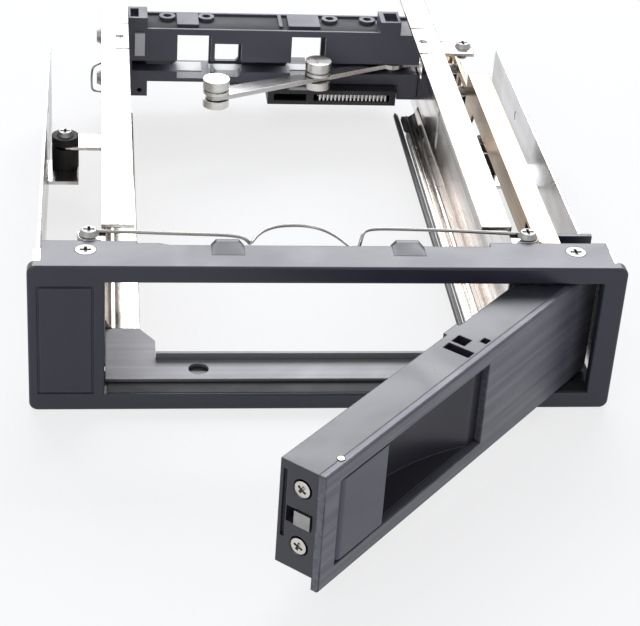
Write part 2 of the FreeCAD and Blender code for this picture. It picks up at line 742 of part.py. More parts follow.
OPEN = SIZES["door_open"]
door = new_body("door_body_sketched")
pad(door, "XY", "door_body_low", "door_high",
    [[("door_left", BODY_FACE), ("door_right - 3.2", BODY_FACE), ("door_right - 3.2", "5.2"),
      ("door_right - 7", DOOR_BACK), ("door_left", DOOR_BACK)]])
barrel = rod("door_barrel", "z", ("hinge_across", "hinge_back"), "barrel", ("door_body_low", "door_high"))
door_bore = rod("door_bore", "z", ("hinge_across", "hinge_back"), "hinge_pin + turn_fit",
                ("door_body_low - 1", "door_high + 1"))
SCOOP_RISE = number("scoop_right - scoop_valley")
SCOOP_RADIUS = (SCOOP_RISE ** 2 + SIZES["scoop_deep"] ** 2) / (2 * SIZES["scoop_deep"])
scoop_round = rod("scoop_round", "z", ("scoop_valley", "scoop_deep - frame_thick - %r" % SCOOP_RADIUS),
                  "%r" % SCOOP_RADIUS, ("scoop_low", "scoop_high"))
scoop_box = block("scoop_box", ("scoop_left", "scoop_right + 2"), (BODY_FACE + " - 1", DOOR_BACK),
                  ("scoop_low", "scoop_high"))
scoop = doc.addObject("Part::Common", "scoop_tool")
scoop.Base = scoop_box
scoop.Tool = scoop_round
flap_room = block("flap_room", ("flap_left - flap_gap", "scoop_left + 0.1"), (BODY_FACE + " - 1", "2.2"),
                  ("scoop_low", "scoop_high"))
bolt_room = block("bolt_room", ("door_left - 1", "door_left + bolt_tail + 7.6"),
                  ("bolt_front_y - 0.3", "bolt_front_y + bolt_deep + 2.4"),
                  ("bolt_z - 0.3", "bolt_z + bolt_high + 0.3"))
pin_room = rod("flap_pin_room", "z", (FLAP_X, FLAP_Y), "flap_pin + turn_fit",
               ("door_body_low + 0.6", "door_high"))
back_rooms = [block("back_room_%d" % i, (low, high), ("2.2", DOOR_BACK), ("door_body_low + 2", "door_high - 2"))
              for i, (low, high) in enumerate((("14", "26.5"), ("28.5", "41"), ("43", "50.5")))]
top_cuts = [block("top_cut_%d" % i, (low, high), (front, back), ("door_high - 4", "door_high + 1"))
            for i, (low, high, front, back) in enumerate((("5.4", "8.2", "-0.4", "6.6"), ("9.2", "12.6", "3", "6.6"),
                                                         ("13.4", "15.6", "-0.4", "1.4")))]
tip_sinks = []
for i, level in enumerate(("30.5", "15.3")):
    tip_sinks.append(rod("tip_sink_%d" % i, "x", ("3", level), "sink_radius + shank_fit",
                         ("door_left - 0.01", "door_left + sink_deep"), "shank + shank_fit"))
    tip_sinks.append(rod("tip_bore_%d" % i, "x", ("3", level), "shank + shank_fit",
                         ("door_left + sink_deep", "door_left + 4")))
tip_slot = block("tip_slot", ("door_left - 1", "door_left + 0.8"), (DOOR_BACK + " - 1.9", DOOR_BACK + " - 0.8"),
                 ("16", "34"))
lug = block("door_lug", ("10.8", "16.4"), (DOOR_BACK + " - 1", DOOR_BACK + " + 1"), ("door_high - 3", "door_high"))
keep("door_body", swing(cut("door_body_cut", join("door_body_blank", door, barrel, lug), door_bore, scoop,
                            flap_room, bolt_room, pin_room, tip_slot, *(back_rooms + top_cuts + tip_sinks)),
                        HINGE, OPEN))

face = new_body("door_face_body")
pad(face, "XZ", DOOR_FACE, BODY_FACE,
    [rect("door_left", "door_right", "door_low", "door_high"),
     rect("flap_left - flap_gap", "scoop_right", "scoop_low", "scoop_high")])
soften(face, "Fillet", "face_thick - 0.1",
       lambda e: along(e, Z_AXIS) and abs(e.CenterOfMass.x - number("door_right")) < 0.01
       and abs(e.CenterOfMass.y + SIZES["frame_thick"]) < 0.01)
soften(face, "Chamfer", "0.4",
       lambda e: along(e, X_AXIS) and abs(e.CenterOfMass.y + SIZES["frame_thick"]) < 0.01
       and e.Length > 0.9 * number("door_right - door_left"))
pocket(face, "XY", "door_body_low + 0.6", "door_high", [], [(FLAP_X, FLAP_Y, "flap_pin + turn_fit")])
keep("door_front_plate", swing(face, HINGE, OPEN))

tip_screws = []
for i, level in enumerate(("30.5", "15.3")):
    head = rod("tip_head_%d" % i, "x", ("3", level), "sink_radius", ("door_left", "door_left + sink_deep"), "shank")
    stem = rod("tip_stem_%d" % i, "x", ("3", level), "shank", ("door_left + sink_deep", "door_left + 4"))
    ways = [block("tip_way_a%d" % i, ("door_left - 1", "door_left + cross_deep"),
                  ("3 - cross_long / 2", "3 + cross_long / 2"), (level + " - cross_wide / 2", level + " + cross_wide / 2")),
            block("tip_way_b%d" % i, ("door_left - 1", "door_left + cross_deep"),
                  ("3 - cross_wide / 2", "3 + cross_wide / 2"), (level + " - cross_long / 2", level + " + cross_long / 2"))]
    tip_screws.append(cut("tip_screw_%d" % i, join("tip_blank_%d" % i, head, stem), *ways))
keep("door_tip_screws", swing(group("tip_screw_pair", *tip_screws), HINGE, OPEN))

# Grip: thin panel on an upright pin, with a finger lip and an arm that draws the bolt
panel = block("flap_panel", (FLAP_X, "scoop_left - flap_gap"), (DOOR_FACE, DOOR_FACE + " + flap_thick"),
              ("scoop_low + flap_gap", "scoop_high - flap_gap"))
flap_tube = rod("flap_tube", "z", (FLAP_X, FLAP_Y), "flap_barrel",
                ("scoop_low + flap_gap", "scoop_high - flap_gap"))
flap_lip = block("flap_lip", ("scoop_left - flap_gap - 1.2", "scoop_left - flap_gap"), (DOOR_FACE + " + 1", "1.4"),
                 ("scoop_low + flap_gap", "scoop_high - flap_gap"))
flap_arm = block("flap_arm_block", (FLAP_X + " - 0.7", FLAP_X + " + 0.7"),
                 (FLAP_Y + " + 1", FLAP_Y + " + flap_arm + 0.8"),
                 ("bolt_z + 0.5", "bolt_z + bolt_high - 0.5"))
flap_bore = rod("flap_bore", "z", (FLAP_X, FLAP_Y), "flap_pin + turn_fit",
                ("scoop_low", "scoop_high"))
keep("flap_handle", swing(cut("flap_cut", join("flap_blank", panel, flap_tube, flap_lip, flap_arm), flap_bore),
                          HINGE, OPEN))
keep("flap_pin", swing(rod("flap_pin_rod", "z", (FLAP_X, FLAP_Y), "flap_pin",
                           ("door_body_low + 0.6", "door_high + 0.2")), HINGE, OPEN))

# Bolt: bevelled nose, and a tail whose slot takes the arm of the grip
nose = block("bolt_nose", ("door_left - bolt_out", "door_left + 4"), ("bolt_front_y", "bolt_front_y + bolt_deep"),
             ("bolt_z", "bolt_z + bolt_high"))
tail = block("bolt_tail_block", ("door_left + 3", "door_left + bolt_tail + 4.4"),
             (FLAP_Y + " + flap_arm - 1.6", "bolt_front_y + bolt_deep + 2"), ("bolt_z", "bolt_z + bolt_high"))
bevel = doc.addObject("Part::Wedge", "bolt_bevel")
for name, rule in (("Xmin", "0"), ("Xmax", "2"), ("Ymin", "0"), ("Ymax", "2"), ("Zmin", "0"),
                   ("Zmax", "bolt_high"), ("X2min", "2"), ("X2max", "2"), ("Z2min", "0"), ("Z2max", "bolt_high")):
    bind(bevel, name, rule)
bind(bevel, ".Placement.Base.x", "door_left - bolt_out")
bind(bevel, ".Placement.Base.y", "bolt_front_y")
bind(bevel, ".Placement.Base.z", "bolt_z")
slot = block("bolt_slot", (FLAP_X + " - 1.8 - bolt_slack", FLAP_X + " + 1.3 + bolt_slack"),
             ("bolt_front_y - 1", "bolt_front_y + bolt_deep + 3"), ("bolt_z + 0.2", "bolt_z + bolt_high - 0.2"))
keep("latch_bolt", swing(cut("bolt_cut", join("bolt_blank", nose, tail), slot), HINGE, OPEN))

keep("hinge_pin", rod("hinge_pin_rod", "z", ("hinge_across", "hinge_back"), "hinge_pin",
                      ("1.3", "frame_height - 0.9")))

CRANK = math.radians(SIZES["crank_angle"])
crank_x = "hinge_across + crank_radius * %r" % math.cos(CRANK)
crank_y = "hinge_back + crank_radius * %r" % math.sin(CRANK)
keep("crank_pin", swing(rod("crank_rod", "z", (crank_x, crank_y), "crank_pin",
                            ("door_high", "door_high + crank_rise")), HINGE, OPEN))

# Push bar: folded strip; its fork takes the crank, its rear hook takes the lever
OPEN_CRANK = math.radians(SIZES["crank_angle"] + SIZES["door_open"])
fork_x = "hinge_across + crank_radius * %r" % math.cos(OPEN_CRANK)
fork_y = "hinge_back + crank_radius * %r" % math.sin(OPEN_CRANK)
OPEN_ARM = math.radians(SIZES["short_angle"] + SIZES["lever_open"])
link_x = "pivot_across + short_arm * %r" % math.cos(OPEN_ARM)
link_y = "pivot_back + short_arm * %r" % math.sin(OPEN_ARM)
SLOT_HALF = "(crank_pin + fork_slack)"
bar = new_body("push_bar_body")
pad(bar, "XY", "bar_top - gauge", "bar_top",
    [[("bar_left", "18"), ("bar_left + 2.7", "15"), ("bar_left + 2.7", "%s - %s - 1" % (fork_y, SLOT_HALF)),
      (fork_x + " + 3", "%s - %s - 1" % (fork_y, SLOT_HALF)), (fork_x + " + 3", "%s - %s" % (fork_y, SLOT_HALF)),
      (fork_x + " - 3.3", "%s - %s" % (fork_y, SLOT_HALF)), (fork_x + " - 3.3", "%s + %s" % (fork_y, SLOT_HALF)),
      (fork_x + " + 3", "%s + %s" % (fork_y, SLOT_HALF)), (fork_x + " + 3", "%s + %s + 2" % (fork_y, SLOT_HALF)),
      ("bar_left + bar_wide", "16"), ("bar_left + bar_wide", "bar_flange_end"), ("bar_left", "bar_flange_end")]])
pad(bar, "YZ", "bar_left", "bar_left + gauge",
    [[("bar_web_start", "bar_top - bar_web_high"), ("bar_step", "bar_top - bar_web_high"),
      ("bar_step + 6", "bar_web_low + 3"), ("bar_shoulder", "bar_web_low"),
      ("%s + 4" % link_y, "bar_web_low"), ("%s + 4" % link_y, "bar_web_low + 8"),
      ("bar_shoulder", "bar_top - gauge - 3.6"), ("bar_flange_end", "bar_top - gauge - 3.6"),
      ("bar_flange_end", "bar_top - gauge / 2"), ("bar_web_start", "bar_top - gauge / 2")]])
TAB_LOW = "lever_z + lever_thick + 1.1"
tab_half = "(link_pin + fork_slack)"
pad(bar, "XY", TAB_LOW, TAB_LOW + " + gauge",
    [[("bar_left + gauge / 2", "%s - 4" % link_y), ("bar_left + gauge / 2", "%s + 4" % link_y),
      (link_x + " - 1.6", "%s + 4" % link_y), (link_x + " - 1.6", "%s + %s" % (link_y, tab_half)),
      (link_x + " + 1.8", "%s + %s" % (link_y, tab_half)), (link_x + " + 1.8", "%s - %s" % (link_y, tab_half)),
      (link_x + " - 1.6", "%s - %s" % (link_y, tab_half)), (link_x + " - 1.6", "%s - 4" % link_y)]])
for spot in ("rivet_front", "rivet_front + rivet_pitch"):
    pocket(bar, "YZ", "bar_left", "bar_left + gauge",
           [rect(spot + " - 6.6", spot + " + 7.2", "rivet_z - rivet - 0.3", "rivet_z + rivet + 0.3")])
keep("push_bar", bar)

# Guide: plate on the outside of the right rail, whose rivets carry the bar and whose tab is screwed
GUIDE_IN = RAIL_RIGHT + " + gauge"
GUIDE_SCREW = GUIDE_IN + " + guide_screw_out"
guide = new_body("guide_rail_body")
pad(guide, "YZ", GUIDE_IN, GUIDE_IN + " + side_gauge",
    [[("guide_start", "guide_low"), ("guide_end", "guide_low"), ("guide_end", "guide_high - 8"),
      ("guide_tab_end", "guide_high - gauge / 2"), ("guide_tab_start", "guide_high - gauge / 2"),
      ("guide_start", "guide_high - 5")]])
pad(guide, "XY", "guide_high - gauge", "guide_high",
    [rect(GUIDE_IN, GUIDE_IN + " + guide_tab_wide", "guide_tab_start", "guide_tab_end")])
pocket(guide, "XY", "guide_high - gauge", "guide_high", [],
       [(GUIDE_SCREW, "guide_screw_back", "shank + shank_fit")])
keep("guide_rail", guide)
rivets = []
for i, spot in enumerate(("rivet_front", "rivet_front + rivet_pitch")):
    rivets.append(join("guide_rivet_%d" % i,
                       rod("rivet_stem_%d" % i, "x", (spot, "rivet_z"), "rivet",
                           (GUIDE_IN + " + side_gauge", "bar_left + gauge + 0.3")),
                       rod("rivet_head_%d" % i, "x", (spot, "rivet_z"), "rivet + 1",
                           ("bar_left + gauge + 0.3", "bar_left + gauge + 1.1"))))
keep("guide_rivets", group("guide_rivet_pair", *rivets))
keep("guide_screw", pan_screw("guide_screw_piece", GUIDE_SCREW, "guide_screw_back", "guide_high",
                              "guide_high - gauge - 2.4"))

# Eject lever, drawn in line with the bracket and then turned
arm = new_body("lever_arm_body")
tip_x = "pivot_across - lever_tip"
mid_x = "pivot_across - lever_mid"
pad(arm, "XY", "lever_z", "lever_z + lever_thick",
    [[(tip_x, "pivot_back - lever_wide / 2"), ("pivot_across", "pivot_back - lever_narrow / 2"),
      ("pivot_across", "pivot_back + lever_narrow / 2"), (tip_x, "pivot_back + lever_wide / 2")]])
tip_round = rod("lever_tip_round", "z", (tip_x, "pivot_back"), "lever_wide / 2", ("lever_z", "lever_z + lever_thick"))
hub = rod("lever_hub_round", "z", ("pivot_across", "pivot_back"), "lever_hub", ("lever_z", "lever_z + lever_thick"))
SHORT = math.radians(SIZES["short_angle"])
short = block("short_arm_bar", ("0", "short_arm"), ("-lever_narrow / 2", "lever_narrow / 2"), ("0", "lever_thick"))
bind(short, ".Placement.Base.x", "pivot_across + lever_narrow / 2 * %r" % math.sin(SHORT))
bind(short, ".Placement.Base.y", "pivot_back - lever_narrow / 2 * %r" % math.cos(SHORT))
bind(short, ".Placement.Base.z", "lever_z")
bind(short, ".Placement.Rotation.Angle", "short_angle")
end_x = "pivot_across + short_arm * %r" % math.cos(SHORT)
end_y = "pivot_back + short_arm * %r" % math.sin(SHORT)
short_round = rod("short_arm_round", "z", (end_x, end_y), "lever_narrow / 2", ("lever_z", "lever_z + lever_thick"))
lever_bores = [rod("lever_bore", "z", ("pivot_across", "pivot_back"), "pivot_pin + turn_fit",
                   ("lever_z", "lever_z + lever_thick"))]
for i, spot in enumerate((tip_x, mid_x)):
    lever_bores.append(rod("lever_bore_%d" % i, "z", (spot, "pivot_back"), "roller_pin", ("lever_z", "lever_z + lever_thick")))
lever_bores.append(rod("link_bore", "z", (end_x, end_y), "link_pin", ("lever_z", "lever_z + lever_thick")))
keep("eject_lever", swing(cut("lever_cut", join("lever_blank", arm, tip_round, hub, short, short_round), *lever_bores),
                          PIVOT, SIZES["lever_open"]))
keep("link_pin", swing(rod("link_rod", "z", (end_x, end_y), "link_pin", ("lever_z", TAB_LOW + " + gauge + 0.6")),
                       PIVOT, SIZES["lever_open"]))


def roller(name, spot):
    """Turned drum above the lever and a thinner one below it, on one pin."""
    top = rod(name + "_drum", "z", (spot, "pivot_back"), "roller_radius",
              ("lever_z + lever_thick + roller_gap", "roller_high"))
    low = rod(name + "_disc", "z", (spot, "pivot_back"), "roller_radius", ("roller_low", "lever_z - roller_gap"))
    groove = cut(name + "_groove", rod(name + "_ring", "z", (spot, "pivot_back"), "roller_radius + 1",
                                       ("lever_z + lever_thick + 1.2", "lever_z + lever_thick + 1.9")),
                 rod(name + "_core", "z", (spot, "pivot_back"), "roller_radius - 0.5", ("lever_z", "roller_high")))
    bore = rod(name + "_bore", "z", (spot, "pivot_back"), "roller_pin + turn_fit", ("roller_low", "roller_high - 1"))
    drum = cut(name + "_drum_cut", top, bore, groove)
    disc = cut(name + "_disc_cut", low, bore)
    keep(name, swing(group(name + "_set", drum, disc), PIVOT, SIZES["lever_open"]))
    return rod(name + "_pin", "z", (spot, "pivot_back"), "roller_pin", ("roller_low", "roller_high - 1.2"))


pins = [roller("outer_roller", tip_x), roller("inner_roller", mid_x)]
keep("roller_pins", swing(group("roller_pin_pair", *pins), PIVOT, SIZES["lever_open"]))

# Rear bracket: moulded carrier with a slot for the lever and windows for the rollers
BR_LEFT = "rail_left + slip"
BR_RIGHT = RAIL_RIGHT + " - slip"
FRONT = "bracket_front"
BACK = "bracket_back"
LIP_LEFT = BR_LEFT + " + 8.7"
END_RIGHT = BR_RIGHT + " - 13.6"
body = [
    block("br_wall", (BR_LEFT, BR_RIGHT), (FRONT, FRONT + " + bracket_wall"), ("slot_high", "bracket_top")),
    block("br_shelf", (BR_LEFT, BR_RIGHT), (FRONT, FRONT + " + 5.5"), ("bracket_low", "rail_shelf")),
    block("br_sill", (tip_x + " - roller_radius - window_gap - sill_left", mid_x + " + roller_radius + window_gap + sill_right"), (FRONT, BACK + " - bracket_wall / 2"),
          ("bracket_low", "roller_low - window_sill")),
    block("br_roof", (BR_LEFT, BR_RIGHT), (FRONT, BACK), ("bracket_roof", "bracket_top")),
    block("br_lip", (LIP_LEFT, END_RIGHT), (FRONT, FRONT + " + 1"), ("bracket_top", "bracket_top + bracket_lip")),
    block("br_back_lip", (LIP_LEFT, BR_RIGHT + " - 2.2"), (BACK + " - 1", BACK),
          ("bracket_top", "bracket_top + bracket_lip")),
    block("br_left_end", (BR_LEFT, LIP_LEFT), (FRONT, BACK), ("foot_low + 0.4", "bracket_roof")),
    block("br_right_top", (END_RIGHT, BR_RIGHT), (FRONT, BACK), ("slot_high + 0.2", "bracket_roof")),
    block("br_right_low", (END_RIGHT, BR_RIGHT), (FRONT, BACK), ("bracket_low", "rail_shelf - 0.2")),
    block("br_right_foot", (BR_RIGHT + " - 6.6", BR_RIGHT), (FRONT, BACK), ("foot_low", "bracket_low")),
    block("br_back_wall", (BR_LEFT, BR_RIGHT), (BACK + " - bracket_wall", BACK), ("bracket_low", "bracket_roof")),
    block("br_corner_left", (BR_LEFT + " + 7.5", BR_LEFT + " + 13.6"), (FRONT, FRONT + " + 9.5"),
          ("bracket_top", "bracket_top + 4.4")),
    block("br_corner_right", (END_RIGHT, END_RIGHT + " + 6.6"), (FRONT, FRONT + " + 9.5"),
          ("bracket_top", "bracket_top + 4.4")),
    block("br_divide", (BR_LEFT + " + 56.2", BR_LEFT + " + 57.4"), (FRONT + " + 4", BACK + " - 1"), ("bracket_top", "bracket_top + bracket_lip")),
    block("br_pad_a", (BR_LEFT + " + 23.2", BR_LEFT + " + 30.2"), (FRONT + " + 3.5", BACK + " - 1"), ("bracket_top", "bracket_top + 1.1")),
    block("br_pad_b", (BR_RIGHT + " - 43.2", BR_RIGHT + " - 32.8"), (FRONT + " + 3.5", BACK + " - 1"), ("bracket_top", "bracket_top + 1.1")),
    block("br_foot_left", (BR_LEFT + " + 8.1", BR_LEFT + " + 13.7"), (FRONT, FRONT + " + 5.5"),
          ("foot_low", "rail_shelf")),
    block("br_foot_rear", (BR_LEFT + " + 8.1", BR_LEFT + " + 13.7"), (FRONT, BACK), ("foot_low", "bracket_low + 1")),
]
holes = []
for i, spot in enumerate((BR_LEFT + " + boss_left", BR_LEFT + " + boss_left + boss_left_pair",
                          BR_RIGHT + " - boss_right - boss_right_pair", BR_RIGHT + " - boss_right")):
    row = (spot, BACK + " - boss_row")
    body.append(rod("br_boss_%d" % i, "z", row, "boss_radius", ("bracket_top", "bracket_top + boss_high")))
    holes.append(rod("br_boss_hole_%d" % i, "z", row, "boss_hole", ("bracket_roof - 1", "bracket_top + boss_high + 1")))
for name, middle, right in (("a", tip_x, "0.4"), ("b", mid_x, "0.6")):
    holes.append(block("br_window_" + name,
                       (middle + " - roller_radius - window_gap - 0.8", middle + " + roller_radius + window_gap + " + right),
                       (FRONT + " - 1", BACK + " + 1"), ("roller_low - window_sill", "bracket_roof")))
# Middle window with its two round lower corners
C_LEFT = tip_x + " + roller_radius + window_gap + 1.6"
C_RIGHT = C_LEFT + " + 8.6"
C_WAY = (FRONT + " - 1", BACK + " + 1")
holes += [
    block("br_window_c", (C_LEFT, C_RIGHT), C_WAY, ("roller_low + 0.9", "bracket_roof - 2.8")),
    block("br_window_c_low", (C_LEFT + " + 1.5", C_RIGHT + " - 1.5"), C_WAY, ("roller_low - 0.6", "roller_low + 1")),
    rod("br_window_c_left", "y", (C_LEFT + " + 1.5", "roller_low + 0.9"), "1.5", C_WAY),
    rod("br_window_c_right", "y", (C_RIGHT + " - 1.5", "roller_low + 0.9"), "1.5", C_WAY),
    rod("br_pivot_bore", "z", ("pivot_across", "pivot_back"), "pivot_pin + turn_fit", ("bracket_low - 1", "bracket_roof - 1")),
    block("br_corner_recess_a", (BR_LEFT + " + 8.2", BR_LEFT + " + 10.8"), (FRONT + " + 1.2", FRONT + " + 8"),
          ("bracket_top + 2.4", "bracket_top + 5")),
    block("br_corner_recess_b", (END_RIGHT + " + 1.6", END_RIGHT + " + 5.8"), (FRONT + " + 1.2", FRONT + " + 8"),
          ("bracket_top + 2.4", "bracket_top + 5")),
    rod("br_foot_hole", "y", (BR_LEFT + " + 11.2", "foot_low + 2"), "0.8", (FRONT + " - 1", FRONT + " + 3")),
]
keep("rear_bracket", cut("bracket_cut", join("bracket_blank", *body), *holes))
keep("lever_pivot_pin", rod("lever_pivot_rod", "z", ("pivot_across", "pivot_back"), "pivot_pin",
                            ("bracket_low", "bracket_roof - 1.2")))

side_screws = []
for side, face_in, outward in (("left", "rail_left - gauge", "-"), ("right", RAIL_RIGHT + " + gauge", "+")):
    for level in ("side_screw_low", "side_screw_high"):
        ends = ("%s - pan_high" % face_in, face_in) if outward == "-" else (face_in, "%s + pan_high" % face_in)
        radii = ("pan_radius * 0.72", "pan_radius") if outward == "-" else ("pan_radius", "pan_radius * 0.72")
        side_screws.append(rod("%s_%s" % (level, side), "x", ("side_screw_back", level), radii[0], ends, radii[1]))
keep("rear_bracket_screws", group("side_screw_set", *side_screws))

# Board under the windows, its sockets, the header and the light guide
BOARD_BACK = BACK + " + board_thick"
board = new_body("board_body")
pad(board, "XZ", BACK, BOARD_BACK, [rect(BR_LEFT + " + 7.6", BR_RIGHT + " - 0.4", "board_low", "bracket_low - 0.4")])
keep("backplane_board", board)
keep("board_screws", group("board_screw_set", *[
    rod("board_screw_%d" % i, "y", (x, "board_screw_z"), "pan_radius", (BOARD_BACK, BOARD_BACK + " + pan_high"),
        "pan_radius * 0.72") for i, x in enumerate((BR_LEFT + " + 10.9", BR_RIGHT + " - 3.3"))]))

SATA_RIGHT = "sata_left + sata_wide"
socket = new_body("sata_body")
pad(socket, "XZ", "sata_front", BACK, [rect("sata_left", SATA_RIGHT, "sata_low", "sata_high")])
pocket(socket, "XZ", "sata_front", "sata_front + 6",
       [rect("sata_left + 2", "sata_left + 12.6", "sata_low + 1.3", "sata_high - 1.3"),
        rect("sata_left + 15", "sata_left + sata_wide - 2", "sata_low + 1.3", "sata_high - 1.3")])
keep("sata_connector", socket)
contacts = new_body("sata_contact_body")
pad(contacts, "XZ", "sata_front + 2", "sata_front + 6",
    [rect("sata_left + 16.4", "sata_left + 39", "sata_low + 2", "sata_low + 2.7")])
tooth = pad(contacts, "XZ", "sata_front + 1.4", "sata_front + 5.5",
            [rect("sata_left + 17", "sata_left + 17.8", "sata_low + 2.4", "sata_low + 3.1")])
teeth = contacts.newObject("PartDesign::LinearPattern", "contact_row")
teeth.Originals = [tooth]
axis_x = [o for o in contacts.Origin.OriginFeatures if o.Role == "X_Axis"][0]
teeth.Direction = (axis_x, [""])
bind(teeth, "Length", "contact_pitch * (contact_count - 1)")
bind(teeth, "Occurrences", "contact_count")
contacts.Tip = teeth
keep("sata_contacts", contacts)
SOCKET_HIGH = ("bracket_low - 7.2", "bracket_low - 0.6")
keep("cable_socket", join("cable_socket_set",
                          block("power_socket", ("sata_left + 16.5", "sata_left + sata_wide"), (BOARD_BACK, BOARD_BACK + " + 6.5"), SOCKET_HIGH),
                          block("data_socket", ("sata_left", "sata_left + 14.5"), (BOARD_BACK, BOARD_BACK + " + 6.5"), SOCKET_HIGH),
                          block("socket_bridge", ("sata_left + 13.5", "sata_left + 17.5"), (BOARD_BACK, BOARD_BACK + " + 2"), SOCKET_HIGH)))
header_shell = block("header_shell", ("sata_left - 17.3", "sata_left - 6.7"), (BOARD_BACK, BOARD_BACK + " + 6.4"), SOCKET_HIGH)
header_room = block("header_room", ("sata_left - 16.1", "sata_left - 7.9"), (BOARD_BACK + " + 2.4", BOARD_BACK + " + 7"),
                    ("bracket_low - 6", "bracket_low - 1.8"))
keep("wire_header", cut("header_cut", header_shell, header_room))
keep("light_pipe", block("light_block", (BR_LEFT + " + 9.6", BR_LEFT + " + 12.8"), (FRONT + " - 1", FRONT),
                         ("bracket_roof - 7", "bracket_roof + 0.6")))
keep("slide_strip", block("slide_block", (RAIL_RIGHT + " - foot_wide - 0.6", RAIL_RIGHT + " - foot_wide + 1"),
                          ("foot_start + 0.4", "foot_end - 2"), ("mouth_low + gauge", "mouth_low + gauge + 1.2")))

# Every feature is tested, then each piece is written to its own file

doc.recompute()
for thing in doc.Objects:
    if "Invalid" in thing.State or "Error" in thing.State:
        raise ValueError("%s (%s) did not build" % (thing.Name, thing.Label))
os.makedirs("parts", exist_ok=True)
for name, piece in PIECES.items():
    shape = piece.Shape
    if shape.isNull() or not shape.isValid() or not shape.Solids:
        raise ValueError("%s has no valid solid" % name)
    shape.exportStep("parts/%s.step" % name)
print(len(PIECES), "pieces written")
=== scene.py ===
import math

import bmesh
import bpy
import numpy as np
from mathutils import Matrix, Vector


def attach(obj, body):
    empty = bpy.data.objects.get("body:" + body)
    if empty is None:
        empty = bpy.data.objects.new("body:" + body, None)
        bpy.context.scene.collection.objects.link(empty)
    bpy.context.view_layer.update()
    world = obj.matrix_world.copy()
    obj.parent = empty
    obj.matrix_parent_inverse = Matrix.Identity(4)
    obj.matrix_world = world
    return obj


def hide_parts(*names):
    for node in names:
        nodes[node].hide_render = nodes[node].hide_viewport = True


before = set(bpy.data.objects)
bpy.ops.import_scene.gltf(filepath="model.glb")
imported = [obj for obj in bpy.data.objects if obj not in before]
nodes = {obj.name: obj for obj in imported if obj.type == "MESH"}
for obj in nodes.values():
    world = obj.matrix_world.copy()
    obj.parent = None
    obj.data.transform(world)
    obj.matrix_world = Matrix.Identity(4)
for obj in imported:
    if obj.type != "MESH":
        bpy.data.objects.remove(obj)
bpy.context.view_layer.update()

# Photographer's camera: a long lens, a little left of the middle, looking down at the open door
# from the front. Its place is in metres in the cage's own frame, its focal length in pixels of the
# picture; all of them were fitted to the photograph.
EYE = Vector((-0.0569, -0.39815, 0.26903))
YAW, PITCH, ROLL = math.radians(7.826), math.radians(31.068), math.radians(4.134)
FOCAL_PIXELS, PICTURE_WIDE = 1882.4, 640
SENSOR_WIDE = 36
NEAR_LIMIT = 0.01

ahead = Vector((math.sin(YAW), math.cos(YAW), 0))
side = Vector((math.cos(YAW), -math.sin(YAW), 0))
sky = Vector((0, 0, 1))
look = ahead * math.cos(PITCH) - sky * math.sin(PITCH)
upright = sky * math.cos(PITCH) + ahead * math.sin(PITCH)
right = side * math.cos(ROLL) + upright * math.sin(ROLL)
up = upright * math.cos(ROLL) - side * math.sin(ROLL)
camera = bpy.data.objects.new("camera", bpy.data.cameras.new("camera"))
camera.data.lens = FOCAL_PIXELS / PICTURE_WIDE * SENSOR_WIDE
camera.data.sensor_width = SENSOR_WIDE
camera.data.clip_start = NEAR_LIMIT
camera.matrix_world = Matrix.Translation(EYE) @ Matrix((right, up, -look)).transposed().to_4x4()
bpy.context.scene.collection.objects.link(camera)
bpy.context.scene.camera = camera
bpy.context.scene.view_settings.view_transform = "Standard"


# White studio: a seamless pale paper floor under the cage, a soft light above and behind it, a
# weaker one from the front left, and a pale room all round. Floor and room look brighter to the
# camera than they light the cage, as in an overexposed product picture.
def feed(tree, node, sockets):
    """Fill a node's sockets by name or number: a socket is linked, anything else is typed in."""
    for key, value in sockets.items():
        if isinstance(value, bpy.types.NodeSocket):
            tree.links.new(value, node.inputs[key])
        else:
            node.inputs[key].default_value = value
    return node


def shade(tree, kind, sockets=None, **settings):
    """Add one shader node with its settings and sockets filled."""
    node = tree.nodes.new("ShaderNode" + kind)
    for name, value in settings.items():
        setattr(node, name, value)
    return feed(tree, node, sockets or {})


def sum_up(tree, operation, first, second=0.0, third=0.0):
    """One step of arithmetic on shader values."""
    return shade(tree, "Math", {0: first, 1: second, 2: third}, operation=operation).outputs[0]


def blend_colours(tree, share, first, second):
    """Mix two colours by a mask; a Mix node keeps its colours in sockets 6, 7 and output 2."""
    return shade(tree, "Mix", {0: share, 6: first, 7: second}, data_type="RGBA").outputs[2]


def own_places(tree):
    """Places on the piece itself, in metres, which its patterns are laid on."""
    return shade(tree, "TexCoord").outputs["Object"]


def noise(tree, places, scale, detail, **more):
    """Soft random pattern between nought and one."""
    sockets = {"Vector": places, "Scale": scale, "Detail": detail, **more}
    return shade(tree, "TexNoise", sockets).outputs["Fac"]


def seen_straight(tree):
    """One for rays from the camera or off gloss or through glass, and zero for scattered light."""
    rays = shade(tree, "LightPath").outputs
    mirror = sum_up(tree, "MAXIMUM", rays["Is Glossy Ray"], rays["Is Transmission Ray"])
    return sum_up(tree, "MAXIMUM", rays["Is Camera Ray"], mirror)


def blank_material(name):
    """A new node material with an empty tree."""
    material = bpy.data.materials.new(name)
    material.use_nodes = True
    material.node_tree.nodes.clear()
    return material, material.node_tree


FLOOR_REACH = 3.0
FLOOR_GLOW = 0.75

room = bpy.data.worlds.new("studio_room")
room.use_nodes = True
room.node_tree.nodes.clear()
bpy.context.scene.world = room
tree = room.node_tree
straight = seen_straight(tree)
soft = shade(tree, "Background", {"Color": (0.90, 0.93, 1.0, 1), "Strength": 0.47})
bright = shade(tree, "Background", {"Color": (1, 1, 1, 1), "Strength": 1.0})
both = shade(tree, "MixShader", {0: straight, 1: soft.outputs[0], 2: bright.outputs[0]})
shade(tree, "OutputWorld", {"Surface": both.outputs[0]})

